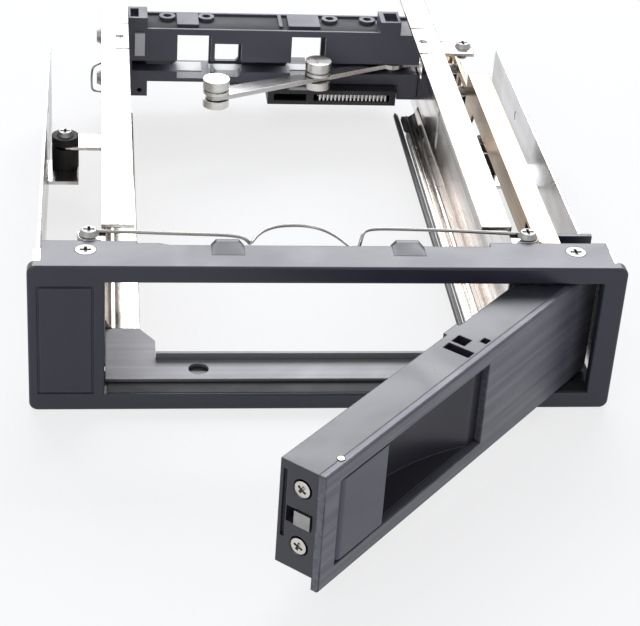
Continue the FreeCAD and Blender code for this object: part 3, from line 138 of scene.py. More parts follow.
floor_mesh = bpy.data.meshes.new("studio_floor")
floor_corners = [(-FLOOR_REACH, -FLOOR_REACH, 0), (FLOOR_REACH, -FLOOR_REACH, 0),
                 (FLOOR_REACH, FLOOR_REACH, 0), (-FLOOR_REACH, FLOOR_REACH, 0)]
floor_mesh.from_pydata(floor_corners, [], [(0, 1, 2, 3)])
floor = bpy.data.objects.new("studio_floor", floor_mesh)
bpy.context.scene.collection.objects.link(floor)
paper, tree = blank_material("floor_paper")
fibre = noise(tree, own_places(tree), 90.0, 3.0)
tone = blend_colours(tree, fibre, (0.90, 0.91, 0.94, 1), (0.93, 0.94, 0.96, 1))
matt = shade(tree, "BsdfDiffuse", {"Color": tone})
glow = shade(tree, "Emission", {"Color": (1, 1, 1, 1), "Strength": 1.0})
share = sum_up(tree, "MULTIPLY", seen_straight(tree), FLOOR_GLOW)
paper_mix = shade(tree, "MixShader", {0: share, 1: matt.outputs[0], 2: glow.outputs[0]})
shade(tree, "OutputMaterial", {"Surface": paper_mix.outputs[0]})
floor.data.materials.append(paper)


def soft_box(name, place, aim, wide, high, radiance, colour):
    """A rectangular area lamp that faces a point; its power is its brightness times its area."""
    lamp = bpy.data.lights.new(name, "AREA")
    lamp.shape = "RECTANGLE"
    lamp.size, lamp.size_y = wide, high
    lamp.energy = radiance * math.pi * wide * high
    lamp.color = colour
    box = bpy.data.objects.new(name, lamp)
    box.location = place
    box.rotation_euler = (Vector(aim) - Vector(place)).to_track_quat("-Z", "Y").to_euler()
    bpy.context.scene.collection.objects.link(box)


soft_box("rear_soft_box", place=(0.05, 1.35, 0.95), aim=(0, 0.08, 0.02),
         wide=1.7, high=0.8, radiance=6.0, colour=(0.95, 0.96, 1.0))
soft_box("front_soft_box", place=(-0.7, -0.8, 0.9), aim=(0, 0.05, 0.02),
         wide=0.7, high=0.7, radiance=1.8, colour=(0.96, 0.98, 1.0))


# Moulded front frame with its collar and the pocket behind it: black ABS from one mould, with a
# fine spark-eroded skin, edges painted lighter, partly wear and partly a painted highlight, and
# painted shade in its corners. Two screws hold it to the outer plates.
def new_group(name, wanted, given):
    """An empty node group with its inputs and outputs named."""
    group = bpy.data.node_groups.new(name, "ShaderNodeTree")
    for label, kind, start in wanted:
        socket = group.interface.new_socket(label, in_out="INPUT", socket_type="NodeSocket" + kind)
        socket.default_value = start
    for label, kind in given:
        group.interface.new_socket(label, in_out="OUTPUT", socket_type="NodeSocket" + kind)
    return group, group.nodes.new("NodeGroupInput").outputs, group.nodes.new("NodeGroupOutput")


def use_group(tree, group, **sockets):
    """Place a node group in a material with its own values."""
    placed = tree.nodes.new("ShaderNodeGroup")
    placed.node_tree = group
    feed(tree, placed, sockets)
    return placed.outputs


def stretched(tree, value, low, high, ends=None):
    """A value moved so that low becomes nought and high becomes one, or the ends that are given."""
    sockets = {"Value": value, "From Min": low, "From Max": high, **(ends or {})}
    return shade(tree, "MapRange", sockets).outputs[0]


mould_skin, wanted, given = new_group(
    "mould_skin", [("Scale", "Float", 2600.0), ("Depth", "Float", 1.0)],
    [("Tone", "Float"), ("Height", "Float")])
places = own_places(mould_skin)
pits = noise(mould_skin, places, wanted["Scale"], 3.0, Roughness=0.6)
flow = noise(mould_skin, places, 70.0, 4.0, Distortion=0.6)
pitted = sum_up(mould_skin, "MULTIPLY", pits, 0.35)
feed(mould_skin, given, {"Tone": sum_up(mould_skin, "MULTIPLY_ADD", flow, 0.65, pitted),
                         "Height": sum_up(mould_skin, "MULTIPLY", pits, wanted["Depth"])})

# Edge tone: a mask on the edges, found from how far the rounded normal turns from the flat one. The tone it
# mixes in is partly wear and partly painted light: a painted highlight where it is lighter, a painted shade
# where it is darker.
edge_wear_and_painted_light, wanted, given = new_group(
    "edge_wear_and_painted_light", [("Radius", "Float", 0.0004), ("Breakup", "Float", 160.0)],
    [("Mask", "Float"), ("Rounded", "Vector")])
rounded = shade(edge_wear_and_painted_light, "Bevel", {"Radius": wanted["Radius"]}, samples=6).outputs["Normal"]
flat = shade(edge_wear_and_painted_light, "NewGeometry").outputs["Normal"]
match = shade(edge_wear_and_painted_light, "VectorMath", {0: rounded, 1: flat}, operation="DOT_PRODUCT").outputs["Value"]
turned = stretched(edge_wear_and_painted_light, match, 0.995, 0.80)
patches = noise(edge_wear_and_painted_light, own_places(edge_wear_and_painted_light), wanted["Breakup"], 3.0)
uneven = stretched(edge_wear_and_painted_light, patches, 0.35, 0.65)
feed(edge_wear_and_painted_light, given, {"Mask": sum_up(edge_wear_and_painted_light, "MULTIPLY", turned, uneven), "Rounded": rounded})

hand_marks, wanted, given = new_group(
    "hand_marks", [("Low", "Float", 0.3), ("High", "Float", 0.4), ("Size", "Float", 45.0)],
    [("Roughness", "Float")])
smears = noise(hand_marks, own_places(hand_marks), wanted["Size"], 5.0, Distortion=1.2)
feed(hand_marks, given, {"Roughness": stretched(hand_marks, smears, 0.3, 0.7, {"To Min": wanted["Low"],
                                                                               "To Max": wanted["High"]})})

# Painted shade: corners, recesses and gaps between parts are darkened where ambient occlusion finds them
# shut in.
painted_corner_shade, wanted, given = new_group("painted_corner_shade", [("Reach", "Float", 0.0009)], [("Mask", "Float")])
shut_in = shade(painted_corner_shade, "AmbientOcclusion", {"Distance": wanted["Reach"]}, samples=6).outputs["AO"]
feed(painted_corner_shade, given, {"Mask": stretched(painted_corner_shade, shut_in, 0.75, 0.30)})


def moulded(name, dark, light, edge_wear_and_light, low, high, skin=2600.0, bump=0.05):
    """A moulded plastic: two close tones, a pitted skin, edges painted lighter, partly wear and partly a
    painted highlight, painted shade in its corners and a roughness that goes from low to high where it was
    touched."""
    material, tree = blank_material(name)
    surface = use_group(tree, mould_skin, Scale=skin)
    edges = use_group(tree, edge_wear_and_painted_light)
    body = blend_colours(tree, surface["Tone"], dark, light)
    # Edges lighter: partly wear, partly a painted highlight.
    with_edges = blend_colours(tree, sum_up(tree, "MULTIPLY", edges["Mask"], 0.55), body, edge_wear_and_light)
    # Painted shade: the corners are darkened towards a near-black tone.
    corner_shade = use_group(tree, painted_corner_shade, Reach=0.0007)
    shade_colour = (0.004, 0.004, 0.005, 1)
    colour = blend_colours(tree, sum_up(tree, "MULTIPLY", corner_shade["Mask"], 0.6), with_edges, shade_colour)
    marks = use_group(tree, hand_marks, Low=low, High=high)
    relief = shade(tree, "Bump", {"Strength": bump, "Distance": 0.0001, "Height": surface["Height"],
                                  "Normal": edges["Rounded"]})
    skin_shader = shade(tree, "BsdfPrincipled", {"Base Color": colour, "Roughness": marks["Roughness"],
                                                 "Normal": relief.outputs[0], "Specular IOR Level": 0.5})
    shade(tree, "OutputMaterial", {"Surface": skin_shader.outputs[0]})
    return material


def dress(material, *names):
    """Give finished CAD pieces their material."""
    for name in names:
        piece = nodes[name]
        if not piece.material_slots:
            piece.data.materials.append(material)
        for place in piece.material_slots:
            place.material = material


frame_black = moulded("frame_black", dark=(0.021, 0.022, 0.036, 1), light=(0.029, 0.030, 0.047, 1),
                      edge_wear_and_light=(0.12, 0.13, 0.17, 1), low=0.28, high=0.38)
dress(frame_black, "bezel")


# Ramps of the collar's tabs: a long low ramp of the frame's own black plastic runs up to each of
# the two tabs on top of the collar. Ramps and tabs come from the frame's mould.
SHARP_CORNER = math.radians(38)
MM_PER_M = 1000
COLLAR_TOP, RAMP_ROOT = 41.6, 41.4
RAMP_FRONT, RAMP_LONG, RAMP_HIGH, RAMP_STEPS = 3.0, 5.0, 0.9, 20


def closed_skin(name, loops, body, material):
    """Skin over a stack of equal closed loops: each point joins the next one round its loop and
    the same one of the next loop, and a flat lid closes each end."""
    count, around = loops.shape[:2]
    row, column = np.meshgrid(np.arange(count - 1), np.arange(around), indexing="ij")
    here, beside = row * around + column, row * around + (column + 1) % around
    quads = np.stack([here, beside, beside + around, here + around], -1).reshape(-1, 4)
    lids = [list(range(around)), list(range((count - 1) * around, count * around))]
    mesh = bpy.data.meshes.new(name)
    mesh.from_pydata(loops.reshape(-1, 3).tolist(), [], quads.tolist() + lids)
    shell = bmesh.new()
    shell.from_mesh(mesh)
    bmesh.ops.recalc_face_normals(shell, faces=shell.faces)
    shell.to_mesh(mesh)
    shell.free()
    mesh.shade_smooth()
    mesh.set_sharp_from_angle(angle=SHARP_CORNER)
    mesh.materials.append(material)
    piece = bpy.data.objects.new(name, mesh)
    bpy.context.scene.collection.objects.link(piece)
    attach(piece, body)
    return piece


ramp_x = np.array([0.0, 1.3, 6.9, 8.2, 8.2, 0.0])
ramp_share = np.array([0.0, 1.0, 1.0, 0.0, 0.0, 0.0])
ramp = np.linspace(0.0, 1.0, RAMP_STEPS)[:, None]
for name, left_end in (("tab_ramp_left", -29.4), ("tab_ramp_right", 15.7)):
    rise_z = ramp_share * RAMP_HIGH * ramp + COLLAR_TOP
    rise_z[:, 4:] = RAMP_ROOT
    depth_y = np.repeat(RAMP_FRONT + RAMP_LONG * ramp, len(ramp_x), 1)
    loops = np.stack([np.tile(ramp_x + left_end, (RAMP_STEPS, 1)), depth_y, rise_z], -1) / MM_PER_M
    closed_skin(name, loops, "cage", frame_black)


# Painted shade on the sill and under the strip's hole: a matt near-black strip lies over the sill under the
# door, and a near-black round post comes up into the hole of the cross strip from below, both dark as a
# painted shade.
SILL_LEFT, SILL_RIGHT, SILL_TOP = -54.8, 69.0, 4.6
HOLE_SHADE_X, HOLE_SHADE_Y, HOLE_SHADE_FOOT, HOLE_SHADE_TOP, HOLE_SHADE_RADIUS, HOLE_SHADE_STEPS = -31.5, 7.4, 1.0, 4.5, 3.1, 16


def carried(path, profile, sizes=1.0, level=(0, 0, 1)):
    """Profile carried along a path: each point of the profile is its path point plus its width
    across the path plus its height above it, both times the size that the path has there."""
    along = np.gradient(path, axis=0)
    along /= np.linalg.norm(along, axis=1, keepdims=True)
    across = np.cross(along, level)
    across /= np.linalg.norm(across, axis=1, keepdims=True)
    rise = np.cross(across, along)
    grown = profile[None] * np.broadcast_to(sizes, len(path))[:, None, None]
    return path[:, None] + grown[..., :1] * across[:, None] + grown[..., 1:] * rise[:, None]


def run_across(start, end, y, z, count):
    """Points in line across the cage, from one side to the other, given in millimetres."""
    return np.stack([np.linspace(start, end, count), np.full(count, y), np.full(count, z)], 1) / MM_PER_M


def thin_slab(front, back, low, shoulder, top, bevel):
    """Flat profile of six corners: its edges stand upright from low to the shoulder, and its top
    is drawn in by the bevel at both ends."""
    return np.array([[front, low], [front, shoulder], [front - bevel, top],
                     [bevel - back, top], [-back, shoulder], [-back, low]]) / MM_PER_M


def ring_profile(count, wide, high):
    """Round or oval profile: half its width times the cosine and half its height times the sine
    of evenly spaced angles."""
    angles = np.linspace(0, math.tau, count, False)
    return np.stack([wide * np.cos(angles), high * np.sin(angles)], 1) / MM_PER_M


painted_shade_black = moulded("painted_shade_black", dark=(0.009, 0.009, 0.013, 1), light=(0.014, 0.014, 0.019, 1),
                     edge_wear_and_light=(0.05, 0.05, 0.07, 1), low=0.60, high=0.75)
sill_profile = thin_slab(front=2.3, back=2.6, low=-0.05, shoulder=0.05, top=0.14, bevel=0.1)
closed_skin("sill_painted_shade", carried(run_across(SILL_LEFT, SILL_RIGHT, 0.0, SILL_TOP, 30), sill_profile),
            "cage", painted_shade_black)
hole_shade_path = np.stack([np.full(HOLE_SHADE_STEPS, HOLE_SHADE_X), np.full(HOLE_SHADE_STEPS, HOLE_SHADE_Y),
                     np.linspace(HOLE_SHADE_FOOT, HOLE_SHADE_TOP, HOLE_SHADE_STEPS)], 1) / MM_PER_M
closed_skin("strip_hole_painted_shade", carried(hole_shade_path, ring_profile(32, HOLE_SHADE_RADIUS, HOLE_SHADE_RADIUS), level=(0, 1, 0)),
            "cage", painted_shade_black)

# Door: a moulded body with the hinge barrel and the finger scoop, turning on the hinge pin, and
# the small grip that closes the scoop's end and turns on its own pin. Both are the same black
# plastic as the frame; the grip is greyer.
door_black = moulded("door_black", dark=(0.024, 0.024, 0.034, 1), light=(0.033, 0.033, 0.045, 1),
                     edge_wear_and_light=(0.12, 0.125, 0.16, 1), low=0.27, high=0.38)
dress(door_black, "door_body")
grip_black = moulded("grip_black", dark=(0.070, 0.073, 0.100, 1), light=(0.086, 0.090, 0.122, 1),
                     edge_wear_and_light=(0.20, 0.21, 0.25, 1), low=0.36, high=0.46)
dress(grip_black, "flap_handle")

# Door face: a plate of black anodised aluminium, brushed along the door and glued to the moulded
# body. Its edges are painted darker than its face, a painted shade of the gap round the plate.
brushed_lines, wanted, given = new_group(
    "brushed_lines", [("Turn", "Vector", (0, 0, 0)), ("Stretch", "Vector", (30, 4000, 4000))],
    [("Tone", "Float"), ("Height", "Float")])


def scaled(tree, places, factors):
    """Places times a factor for each direction, which draws a pattern out into lines."""
    return shade(tree, "VectorMath", {0: places, 1: factors}, operation="MULTIPLY").outputs[0]


laid = shade(brushed_lines, "Mapping", {"Vector": own_places(brushed_lines), "Rotation": wanted["Turn"]})
drawn = scaled(brushed_lines, laid.outputs[0], wanted["Stretch"])
fine = noise(brushed_lines, drawn, 1.0, 4.0, Roughness=0.7)
coarse = noise(brushed_lines, scaled(brushed_lines, drawn, (0.35, 0.22, 0.22)), 1.0, 3.0)
streaks = sum_up(brushed_lines, "MULTIPLY", stretched(brushed_lines, coarse, 0.35, 0.65), 0.5)
feed(brushed_lines, given, {"Tone": sum_up(brushed_lines, "MULTIPLY_ADD", fine, 0.5, streaks),
                            "Height": fine})

# Painted reflection: broad stretched bands of a second colour, standing for the streaks that polished sheet
# reflects.
painted_reflection_bands, wanted, given = new_group("painted_reflection_bands", [("Stretch", "Vector", (260, 4, 260))],
                                        [("Mask", "Float")])
drawn = scaled(painted_reflection_bands, own_places(painted_reflection_bands), wanted["Stretch"])
broad = noise(painted_reflection_bands, drawn, 1.0, 2.0, Distortion=0.3)
feed(painted_reflection_bands, given, {"Mask": stretched(painted_reflection_bands, broad, 0.40, 0.62)})


def brushed(name, dark, light, edge_wear_and_light, low, high, stretch, turn=(0, 0, 0), metal=1.0, bump=0.12, size=45.0,
            edge_share=0.6, reflection_band=None, reflection_stretch=(260, 4, 260), edge=0.0003):
    """A brushed or rolled metal: fine lines in tone and relief, broad bands of a second colour as a
    painted reflection if one is given, painted shade in its corners, uneven gloss, and edges in a tone of
    their own: lighter on the bright parts, partly wear and partly a painted highlight, and darker on the
    rails, plates, foot, bar and door face as a painted shade."""
    material, tree = blank_material(name)
    lines = use_group(tree, brushed_lines, Turn=turn, Stretch=stretch)
    edges = use_group(tree, edge_wear_and_painted_light, Radius=edge)
    body = blend_colours(tree, lines["Tone"], dark, light)
    # Painted reflection: broad bands of a second colour along the metal.
    if reflection_band:
        body = blend_colours(tree, use_group(tree, painted_reflection_bands, Stretch=reflection_stretch)["Mask"], body, reflection_band)
    # Edge tone: lighter is partly wear and partly a painted highlight, darker is a painted shade.
    with_edges = blend_colours(tree, sum_up(tree, "MULTIPLY", edges["Mask"], edge_share), body, edge_wear_and_light)
    # Painted shade: the corners are darkened towards the shade colour.
    corner_shade = use_group(tree, painted_corner_shade, Reach=0.0010)
    shade_colour = (0.020, 0.019, 0.018, 1)
    colour = blend_colours(tree, sum_up(tree, "MULTIPLY", corner_shade["Mask"], 0.85), with_edges, shade_colour)
    marks = use_group(tree, hand_marks, Low=low, High=high, Size=size)
    relief = shade(tree, "Bump", {"Strength": bump, "Distance": 0.00005, "Height": lines["Height"],
                                  "Normal": edges["Rounded"]})
    metal_shader = shade(tree, "BsdfPrincipled", {"Base Color": colour, "Roughness": marks["Roughness"],
                                                  "Metallic": metal, "Normal": relief.outputs[0]})
    shade(tree, "OutputMaterial", {"Surface": metal_shader.outputs[0]})
    return material


DOOR_TURN = math.radians(-48.5)
door_face = brushed("door_face_brushed", dark=(0.060, 0.060, 0.076, 1), light=(0.185, 0.187, 0.218, 1),
                    edge_wear_and_light=(0.012, 0.012, 0.015, 1), low=0.34, high=0.44, turn=(0, 0, DOOR_TURN),
                    stretch=(45, 3200, 3200), metal=0.3, bump=0.25, edge_share=1.4, edge=0.0007)
dress(door_face, "door_front_plate")

# Pins and rollers: turned steel, nickel plated, with a soft lustre. The pins are pressed or headed
# into the piece that carries them, and the two rollers turn freely on theirs.
nickel = brushed("nickel_plate", dark=(0.62, 0.60, 0.57, 1), light=(0.78, 0.77, 0.75, 1),
                 edge_wear_and_light=(0.92, 0.91, 0.90, 1), low=0.24, high=0.38, stretch=(900, 900, 2600),
                 bump=0.06, size=200.0)
dress(nickel, "hinge_pin", "crank_pin", "link_pin", "lever_pivot_pin",
      "roller_pins", "flap_pin", "outer_roller", "inner_roller")

# Screws, rivets and latch bolt: steel with a thin dull zinc. The screws are cold headed with a
# cross struck in each head, and the bolt slides in the window of the door's tip.
screw_steel = brushed("screw_steel", dark=(0.27, 0.265, 0.26, 1), light=(0.41, 0.405, 0.40, 1),
                      edge_wear_and_light=(0.62, 0.62, 0.62, 1), low=0.40, high=0.54, stretch=(1500, 1500, 1500),
                      bump=0.08, size=300.0)
dress(screw_steel, "collar_screws", "spring_screws", "grommet_screws", "guide_screw", "guide_rivets",
      "latch_bolt", "rear_bracket_screws", "board_screws")


# Door tip screws: two countersunk steel screws in the door's tip, brighter than the others. Their
# heads are smaller than those of the CAD model, and stand a little off the rim of their seats.
HEAD_MIDDLE, HEAD_RADIUS, HEAD_DOME = 0.02, 2.0, 0.25
HEAD_RINGS, HEAD_SPOKES = 30, 56
ARM_HALF, ARM_SOFT, ARM_REACH, ARM_END_SOFT, CROSS_DEEP = 0.30, 0.10, 1.15, 0.15, 0.8
TIP_X, TIP_Y = -14.0, -78.18
cone_rings, cone_drops = [2.02, 1.9, 1.3], [0.12, 0.25, 1.3]
tip_outward = np.array([-0.66262, -0.74896, 0])
tip_across = np.array([0.74896, -0.66262, 0])


def cross_head(name, twist, height, body, material):
    """Screw head on rings and spokes: its height above the seat falls with the square of the ring,
    less a cross-shaped dent with soft sides, and the last rings narrow into the cone below."""
    rings = np.concatenate([np.linspace(HEAD_MIDDLE, HEAD_RADIUS, HEAD_RINGS), cone_rings])[:, None]
    drop = np.concatenate([np.zeros(HEAD_RINGS), cone_drops])[:, None]
    spokes = np.linspace(0, math.tau, HEAD_SPOKES, False)[None]
    out, over = rings * np.cos(spokes + twist), rings * np.sin(spokes + twist)
    arms = [np.clip((ARM_HALF - np.abs(a)) / ARM_SOFT + 0.5, 0, 1)
            * np.clip((ARM_REACH - np.abs(b)) / ARM_END_SOFT + 0.5, 0, 1)
            for a, b in ((out, over), (over, out))]
    dome = HEAD_DOME * (1 - (rings / HEAD_RADIUS) ** 2)
    rise = dome - CROSS_DEEP * np.maximum(*arms) * (drop == 0) - drop
    wide, high = rings * np.cos(spokes), rings * np.sin(spokes)
    loops = np.array([TIP_X, TIP_Y, height]) + rise[..., None] * tip_outward + wide[..., None] * tip_across
    loops[..., 2] += high
    piece = closed_skin(name, loops / MM_PER_M, body, material)
    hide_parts("door_tip_screws")


tip_steel = brushed("tip_steel", dark=(0.55, 0.52, 0.48, 1), light=(0.72, 0.70, 0.66, 1),
                    edge_wear_and_light=(0.85, 0.84, 0.82, 1), low=0.30, high=0.42, stretch=(1500, 1500, 1500),
                    bump=0.08, size=300.0)
cross_head("door_tip_screw_top", 0.6, 30.5, "door", tip_steel)
cross_head("door_tip_screw_low", 0.35, 15.3, "door", tip_steel)

# Inner rails and guide plate: bright polished steel sheet, rolled along the cage. Each rail is
# folded into a flange above, and the guide plate is screwed to the outside of the right one. Their
# edges are painted dark as a painted shade, and their broad brownish bands are a painted reflection.
rail_steel = brushed("rail_steel", dark=(0.66, 0.635, 0.605, 1), light=(0.84, 0.83, 0.82, 1),
                     edge_wear_and_light=(0.16, 0.15, 0.14, 1), low=0.12, high=0.22, stretch=(2400, 25, 1500), bump=0.03,
                     edge_share=1.5, reflection_band=(0.48, 0.43, 0.39, 1), reflection_stretch=(330, 2.5, 330), edge=0.0006)
dress(rail_steel, "cage_rail_left", "cage_rail_right", "guide_rail")


# Foot of the right rail: the same sheet turns from the wall into the foot, on which the drive's
# edge lies, through a rolled bend with two faint beads left by the rolls.
def straight_run(x, start, end, z, count=24):
    """Points in line along the cage, from front to rear, given in millimetres."""
    return np.stack([np.full(count, x), np.linspace(start, end, count), np.full(count, z)], 1) / MM_PER_M


FOOT_FACE, FOOT_REAR = 5.6, 160
BEND_X, BEND_FRONT = 43.28, 15
BEND_INNER, BEND_WIDE, BEND_LOW, BEND_HIGH = 0.1, 3.9, 0.03, 3.6
ROLL_RELIEF, ROLL_WAVES = 0.10, 2.5
# Foot sheet: its broad brown bands are a painted reflection, and its edges are painted dark as a painted
# shade.
foot_steel = brushed("foot_steel", dark=(0.50, 0.44, 0.39, 1), light=(0.86, 0.83, 0.80, 1),
                     edge_wear_and_light=(0.16, 0.15, 0.14, 1), low=0.10, high=0.20, stretch=(3600, 12, 3600),
                     bump=0.05, edge_share=0.5, reflection_band=(0.40, 0.34, 0.30, 1), reflection_stretch=(900, 3, 900))
turn = np.linspace(0, 1, 28)
bend_rise = BEND_LOW + BEND_HIGH * turn ** 3 + ROLL_RELIEF * np.sin(ROLL_WAVES * math.tau * turn)
bend_top = np.stack([BEND_INNER + BEND_WIDE * turn, bend_rise], 1)
bend_underside = np.array([[4.02, 0.0], [3.0, -0.02], [1.0, -0.02], [0.05, 0.0]])
bend_profile = np.concatenate([bend_top, bend_underside]) / MM_PER_M
closed_skin("right_foot_bend", carried(straight_run(BEND_X, BEND_FRONT, FOOT_REAR, FOOT_FACE), bend_profile),
            "cage", foot_steel)


# Edging of the right foot: a round strip over the sheet's free edge, near black as a painted shade
# of the rolled edge, and left a little longer than the foot at the rear.
BLUNT_END = 0.02
EDGING_X, EDGING_FRONT, EDGING_REAR, EDGING_Z = 40.3, 15, 163, 5.35


def rounded_ends(count, sharpness):
    """Sizes along a piece with rounded ends: the root of one less the place, from minus one to
    one, raised to the sharpness, and never less than the root of the blunt end's share."""
    place = np.linspace(-1, 1, count)
    return np.sqrt(np.clip(1 - place ** sharpness, BLUNT_END, 1))


edging_painted_shade = moulded("edging_painted_shade", dark=(0.030, 0.030, 0.034, 1), light=(0.045, 0.045, 0.050, 1),
                       edge_wear_and_light=(0.10, 0.10, 0.11, 1), low=0.30, high=0.42)
edging_path = straight_run(EDGING_X, EDGING_FRONT, EDGING_REAR, EDGING_Z, 60)
closed_skin("foot_edging", carried(edging_path, ring_profile(20, 0.85, 0.75), rounded_ends(60, 60)),
            "cage", edging_painted_shade)

# Foot of the left rail: the same bright sheet folded the other way, through a smooth bend into a
# narrow ledge with a rounded free edge, which carries the drive's left side.
LEDGE_X, LEDGE_FRONT = -55.32, 27.1
LEDGE_FLAT, LEDGE_ROUND, LEDGE_THICK = 8.8, 0.5, 1.0
FOLD_WIDE, FOLD_HIGH = 3.0, 3.2
edge = np.linspace(-math.pi / 2, math.pi / 2, 9)
ledge = np.stack([LEDGE_FLAT + LEDGE_ROUND * np.cos(edge), LEDGE_ROUND * np.sin(edge) - LEDGE_ROUND], 1)
fold = np.stack([FOLD_WIDE - FOLD_WIDE * turn, FOLD_HIGH * turn ** 3], 1)
ledge_underside = [[0.0, -LEDGE_THICK], [FOLD_WIDE, -LEDGE_THICK]]
ledge_profile = np.concatenate([ledge_underside, ledge, fold]) / MM_PER_M
closed_skin("left_foot", carried(straight_run(LEDGE_X, LEDGE_FRONT, FOOT_REAR, FOOT_FACE), ledge_profile),
            "cage", foot_steel)

# Slide bead: a half-round runner of bright steel on the right foot, on which the drive slides. It
# stands for the slide strip of the CAD model, together with the tip made below with the rubbers.
BEAD_X, BEAD_FRONT, BEAD_REAR, BEAD_HALF, BEAD_HIGH = 42.2, 14.4, 147.6, 0.8, 1.2
half = np.linspace(0, math.pi, 13)
bead_profile = np.stack([BEAD_HALF * np.cos(half), BEAD_HIGH * np.sin(half)], 1) / MM_PER_M
bead_path = straight_run(BEAD_X, BEAD_FRONT, BEAD_REAR, FOOT_FACE, 60)
bead = closed_skin("slide_bead", carried(bead_path, bead_profile, rounded_ends(60, 40)),
                   "cage", nickel)
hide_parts("slide_strip")

# Cross strip: the flat steel strip, in satin zinc, that ties the rails below the door. It is
# duller than the rails and has one round hole.
strip_steel = brushed("strip_steel", dark=(0.20, 0.20, 0.21, 1), light=(0.29, 0.29, 0.30, 1),
                      edge_wear_and_light=(0.42, 0.42, 0.44, 1), low=0.50, high=0.60, stretch=(25, 1800, 1800),
                      metal=0.5, bump=0.06, edge_share=0.5)
dress(strip_steel, "front_cross_strip")

# Outer plates: zinc-plated steel sheet with the bay's screw holes, duller than the rails, with
# broad darker patches as a painted reflection and edges painted dark as a painted shade. Rubber mounts hold
# them to the rails.
plate_steel = brushed("plate_steel", dark=(0.58, 0.57, 0.57, 1), light=(0.74, 0.74, 0.75, 1),
                      edge_wear_and_light=(0.20, 0.19, 0.19, 1), low=0.18, high=0.30, stretch=(2400, 40, 1200), bump=0.04,
                      edge_share=1.2, reflection_band=(0.40, 0.38, 0.36, 1), reflection_stretch=(60, 14, 60), edge=0.0005)
dress(plate_steel, "side_plate_left", "side_plate_right")

# Push bar: a long folded steel strip with a yellow passivated zinc finish. It slides on the two
# rivets of the guide and takes the door's motion to the lever.
# Its broad dark bands are a painted reflection, and its edges are painted darker as a painted shade.
bar_steel = brushed("bar_steel", dark=(0.40, 0.29, 0.19, 1), light=(0.58, 0.46, 0.33, 1),
                    edge_wear_and_light=(0.30, 0.24, 0.18, 1), low=0.16, high=0.28, stretch=(2400, 30, 1200),
                    bump=0.04, reflection_band=(0.30, 0.20, 0.12, 1), reflection_stretch=(500, 5, 500))
dress(bar_steel, "push_bar")

# Eject lever: a tapered arm stamped from steel and plated in satin nickel, turning on its pivot
# pin. Its lines lie along the arm as it stands in the photograph.
LEVER_TURN = math.radians(-24)
lever_steel = brushed("lever_steel", dark=(0.46, 0.45, 0.44, 1), light=(0.62, 0.61, 0.60, 1),
                      edge_wear_and_light=(0.85, 0.84, 0.82, 1), low=0.18, high=0.30, turn=(0, 0, LEVER_TURN),
                      stretch=(30, 2600, 2600), bump=0.05)
dress(lever_steel, "eject_lever")

# Retaining spring: hard-drawn steel wire, hooked round its two screws and sprung out in a bow
# behind the collar. It stands for the spring of the CAD model, on the same route.
wire_steel = brushed("wire_steel", dark=(0.26, 0.255, 0.245, 1), light=(0.42, 0.41, 0.395, 1),
                     edge_wear_and_light=(0.7, 0.7, 0.68, 1), low=0.20, high=0.30, stretch=(60, 3000, 3000), bump=0.05)


def smooth_line(corners, count):
    """Quadratic B-spline: it leaves and reaches the end points, and between them bends towards each
    corner by half, three quarters of the way at the middle of its piece."""
    stops = np.concatenate([corners[:1], corners, corners[-1:]])
    place = np.linspace(0, len(stops) - 2 - 1e-6, count)
    first = place.astype(int)
    part = (place - first)[:, None]
    return (0.5 * (1 - part) ** 2 * stops[first] + (0.5 + part - part ** 2) * stops[first + 1]
            + 0.5 * part ** 2 * stops[first + 2])


SPRING_RADIUS, SPRING_STEPS = 0.45, 420
bow = np.array([(-56.3, 10.7, 41.1), (-61.9, 10.7, 41.1), (-61.9, 15.7, 41.1), (-52, 15.6, 41.1),
                (-36, 14.6, 41.1), (-25.6, 14.2, 41.1), (-21.4, 13.6, 40.9), (-19.8, 13.2, 39.9),
                (-19.2, 14.4, 38.2), (-16.4, 21.0, 38.0), (-12.4, 24.3, 38.0), (-8.2, 25.2, 38.0),
                (-3.8, 25.0, 38.0), (0.2, 23.1, 38.0), (3.4, 19.4, 38.0), (5.8, 14.8, 38.0),
                (6.6, 13.2, 38.0), (8.4, 13.4, 38.0), (9.0, 14.4, 40.4), (9.9, 16.6, 41.1),
                (12.4, 17.9, 41.1), (20.0, 17.8, 41.1), (34.0, 17.1, 41.1), (46.0, 15.9, 41.1),
                (53.9, 15.7, 41.1), (53.9, 10.7, 41.1), (48.3, 10.7, 41.1)]) / MM_PER_M
spring_round = ring_profile(16, SPRING_RADIUS, SPRING_RADIUS)
spring_loops = carried(smooth_line(bow, SPRING_STEPS), spring_round, level=(0.02, 0.03, 1))
spring = closed_skin("spring_wire", spring_loops, "cage", wire_steel)
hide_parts("retaining_spring")

# Rail clip: a short bent end of thinner wire of the same steel, hooked over the back of the left
# rail beside the bracket.
CLIP_RADIUS, CLIP_STEPS = 0.35, 70
clip = np.array([(-56.4, 172.8, 17.2), (-58.9, 170.8, 16.9), (-59.4, 170.4, 14.5), (-59.4, 170.4, 11.0),
                 (-59.2, 170.5, 8.6), (-57.6, 170.8, 8.0), (-56.0, 170.8, 8.0)]) / MM_PER_M
clip_round = ring_profile(16, CLIP_RADIUS, CLIP_RADIUS)
closed_skin("rail_clip", carried(smooth_line(clip, CLIP_STEPS), clip_round, level=(0, 1, 0)),
            "cage", wire_steel)

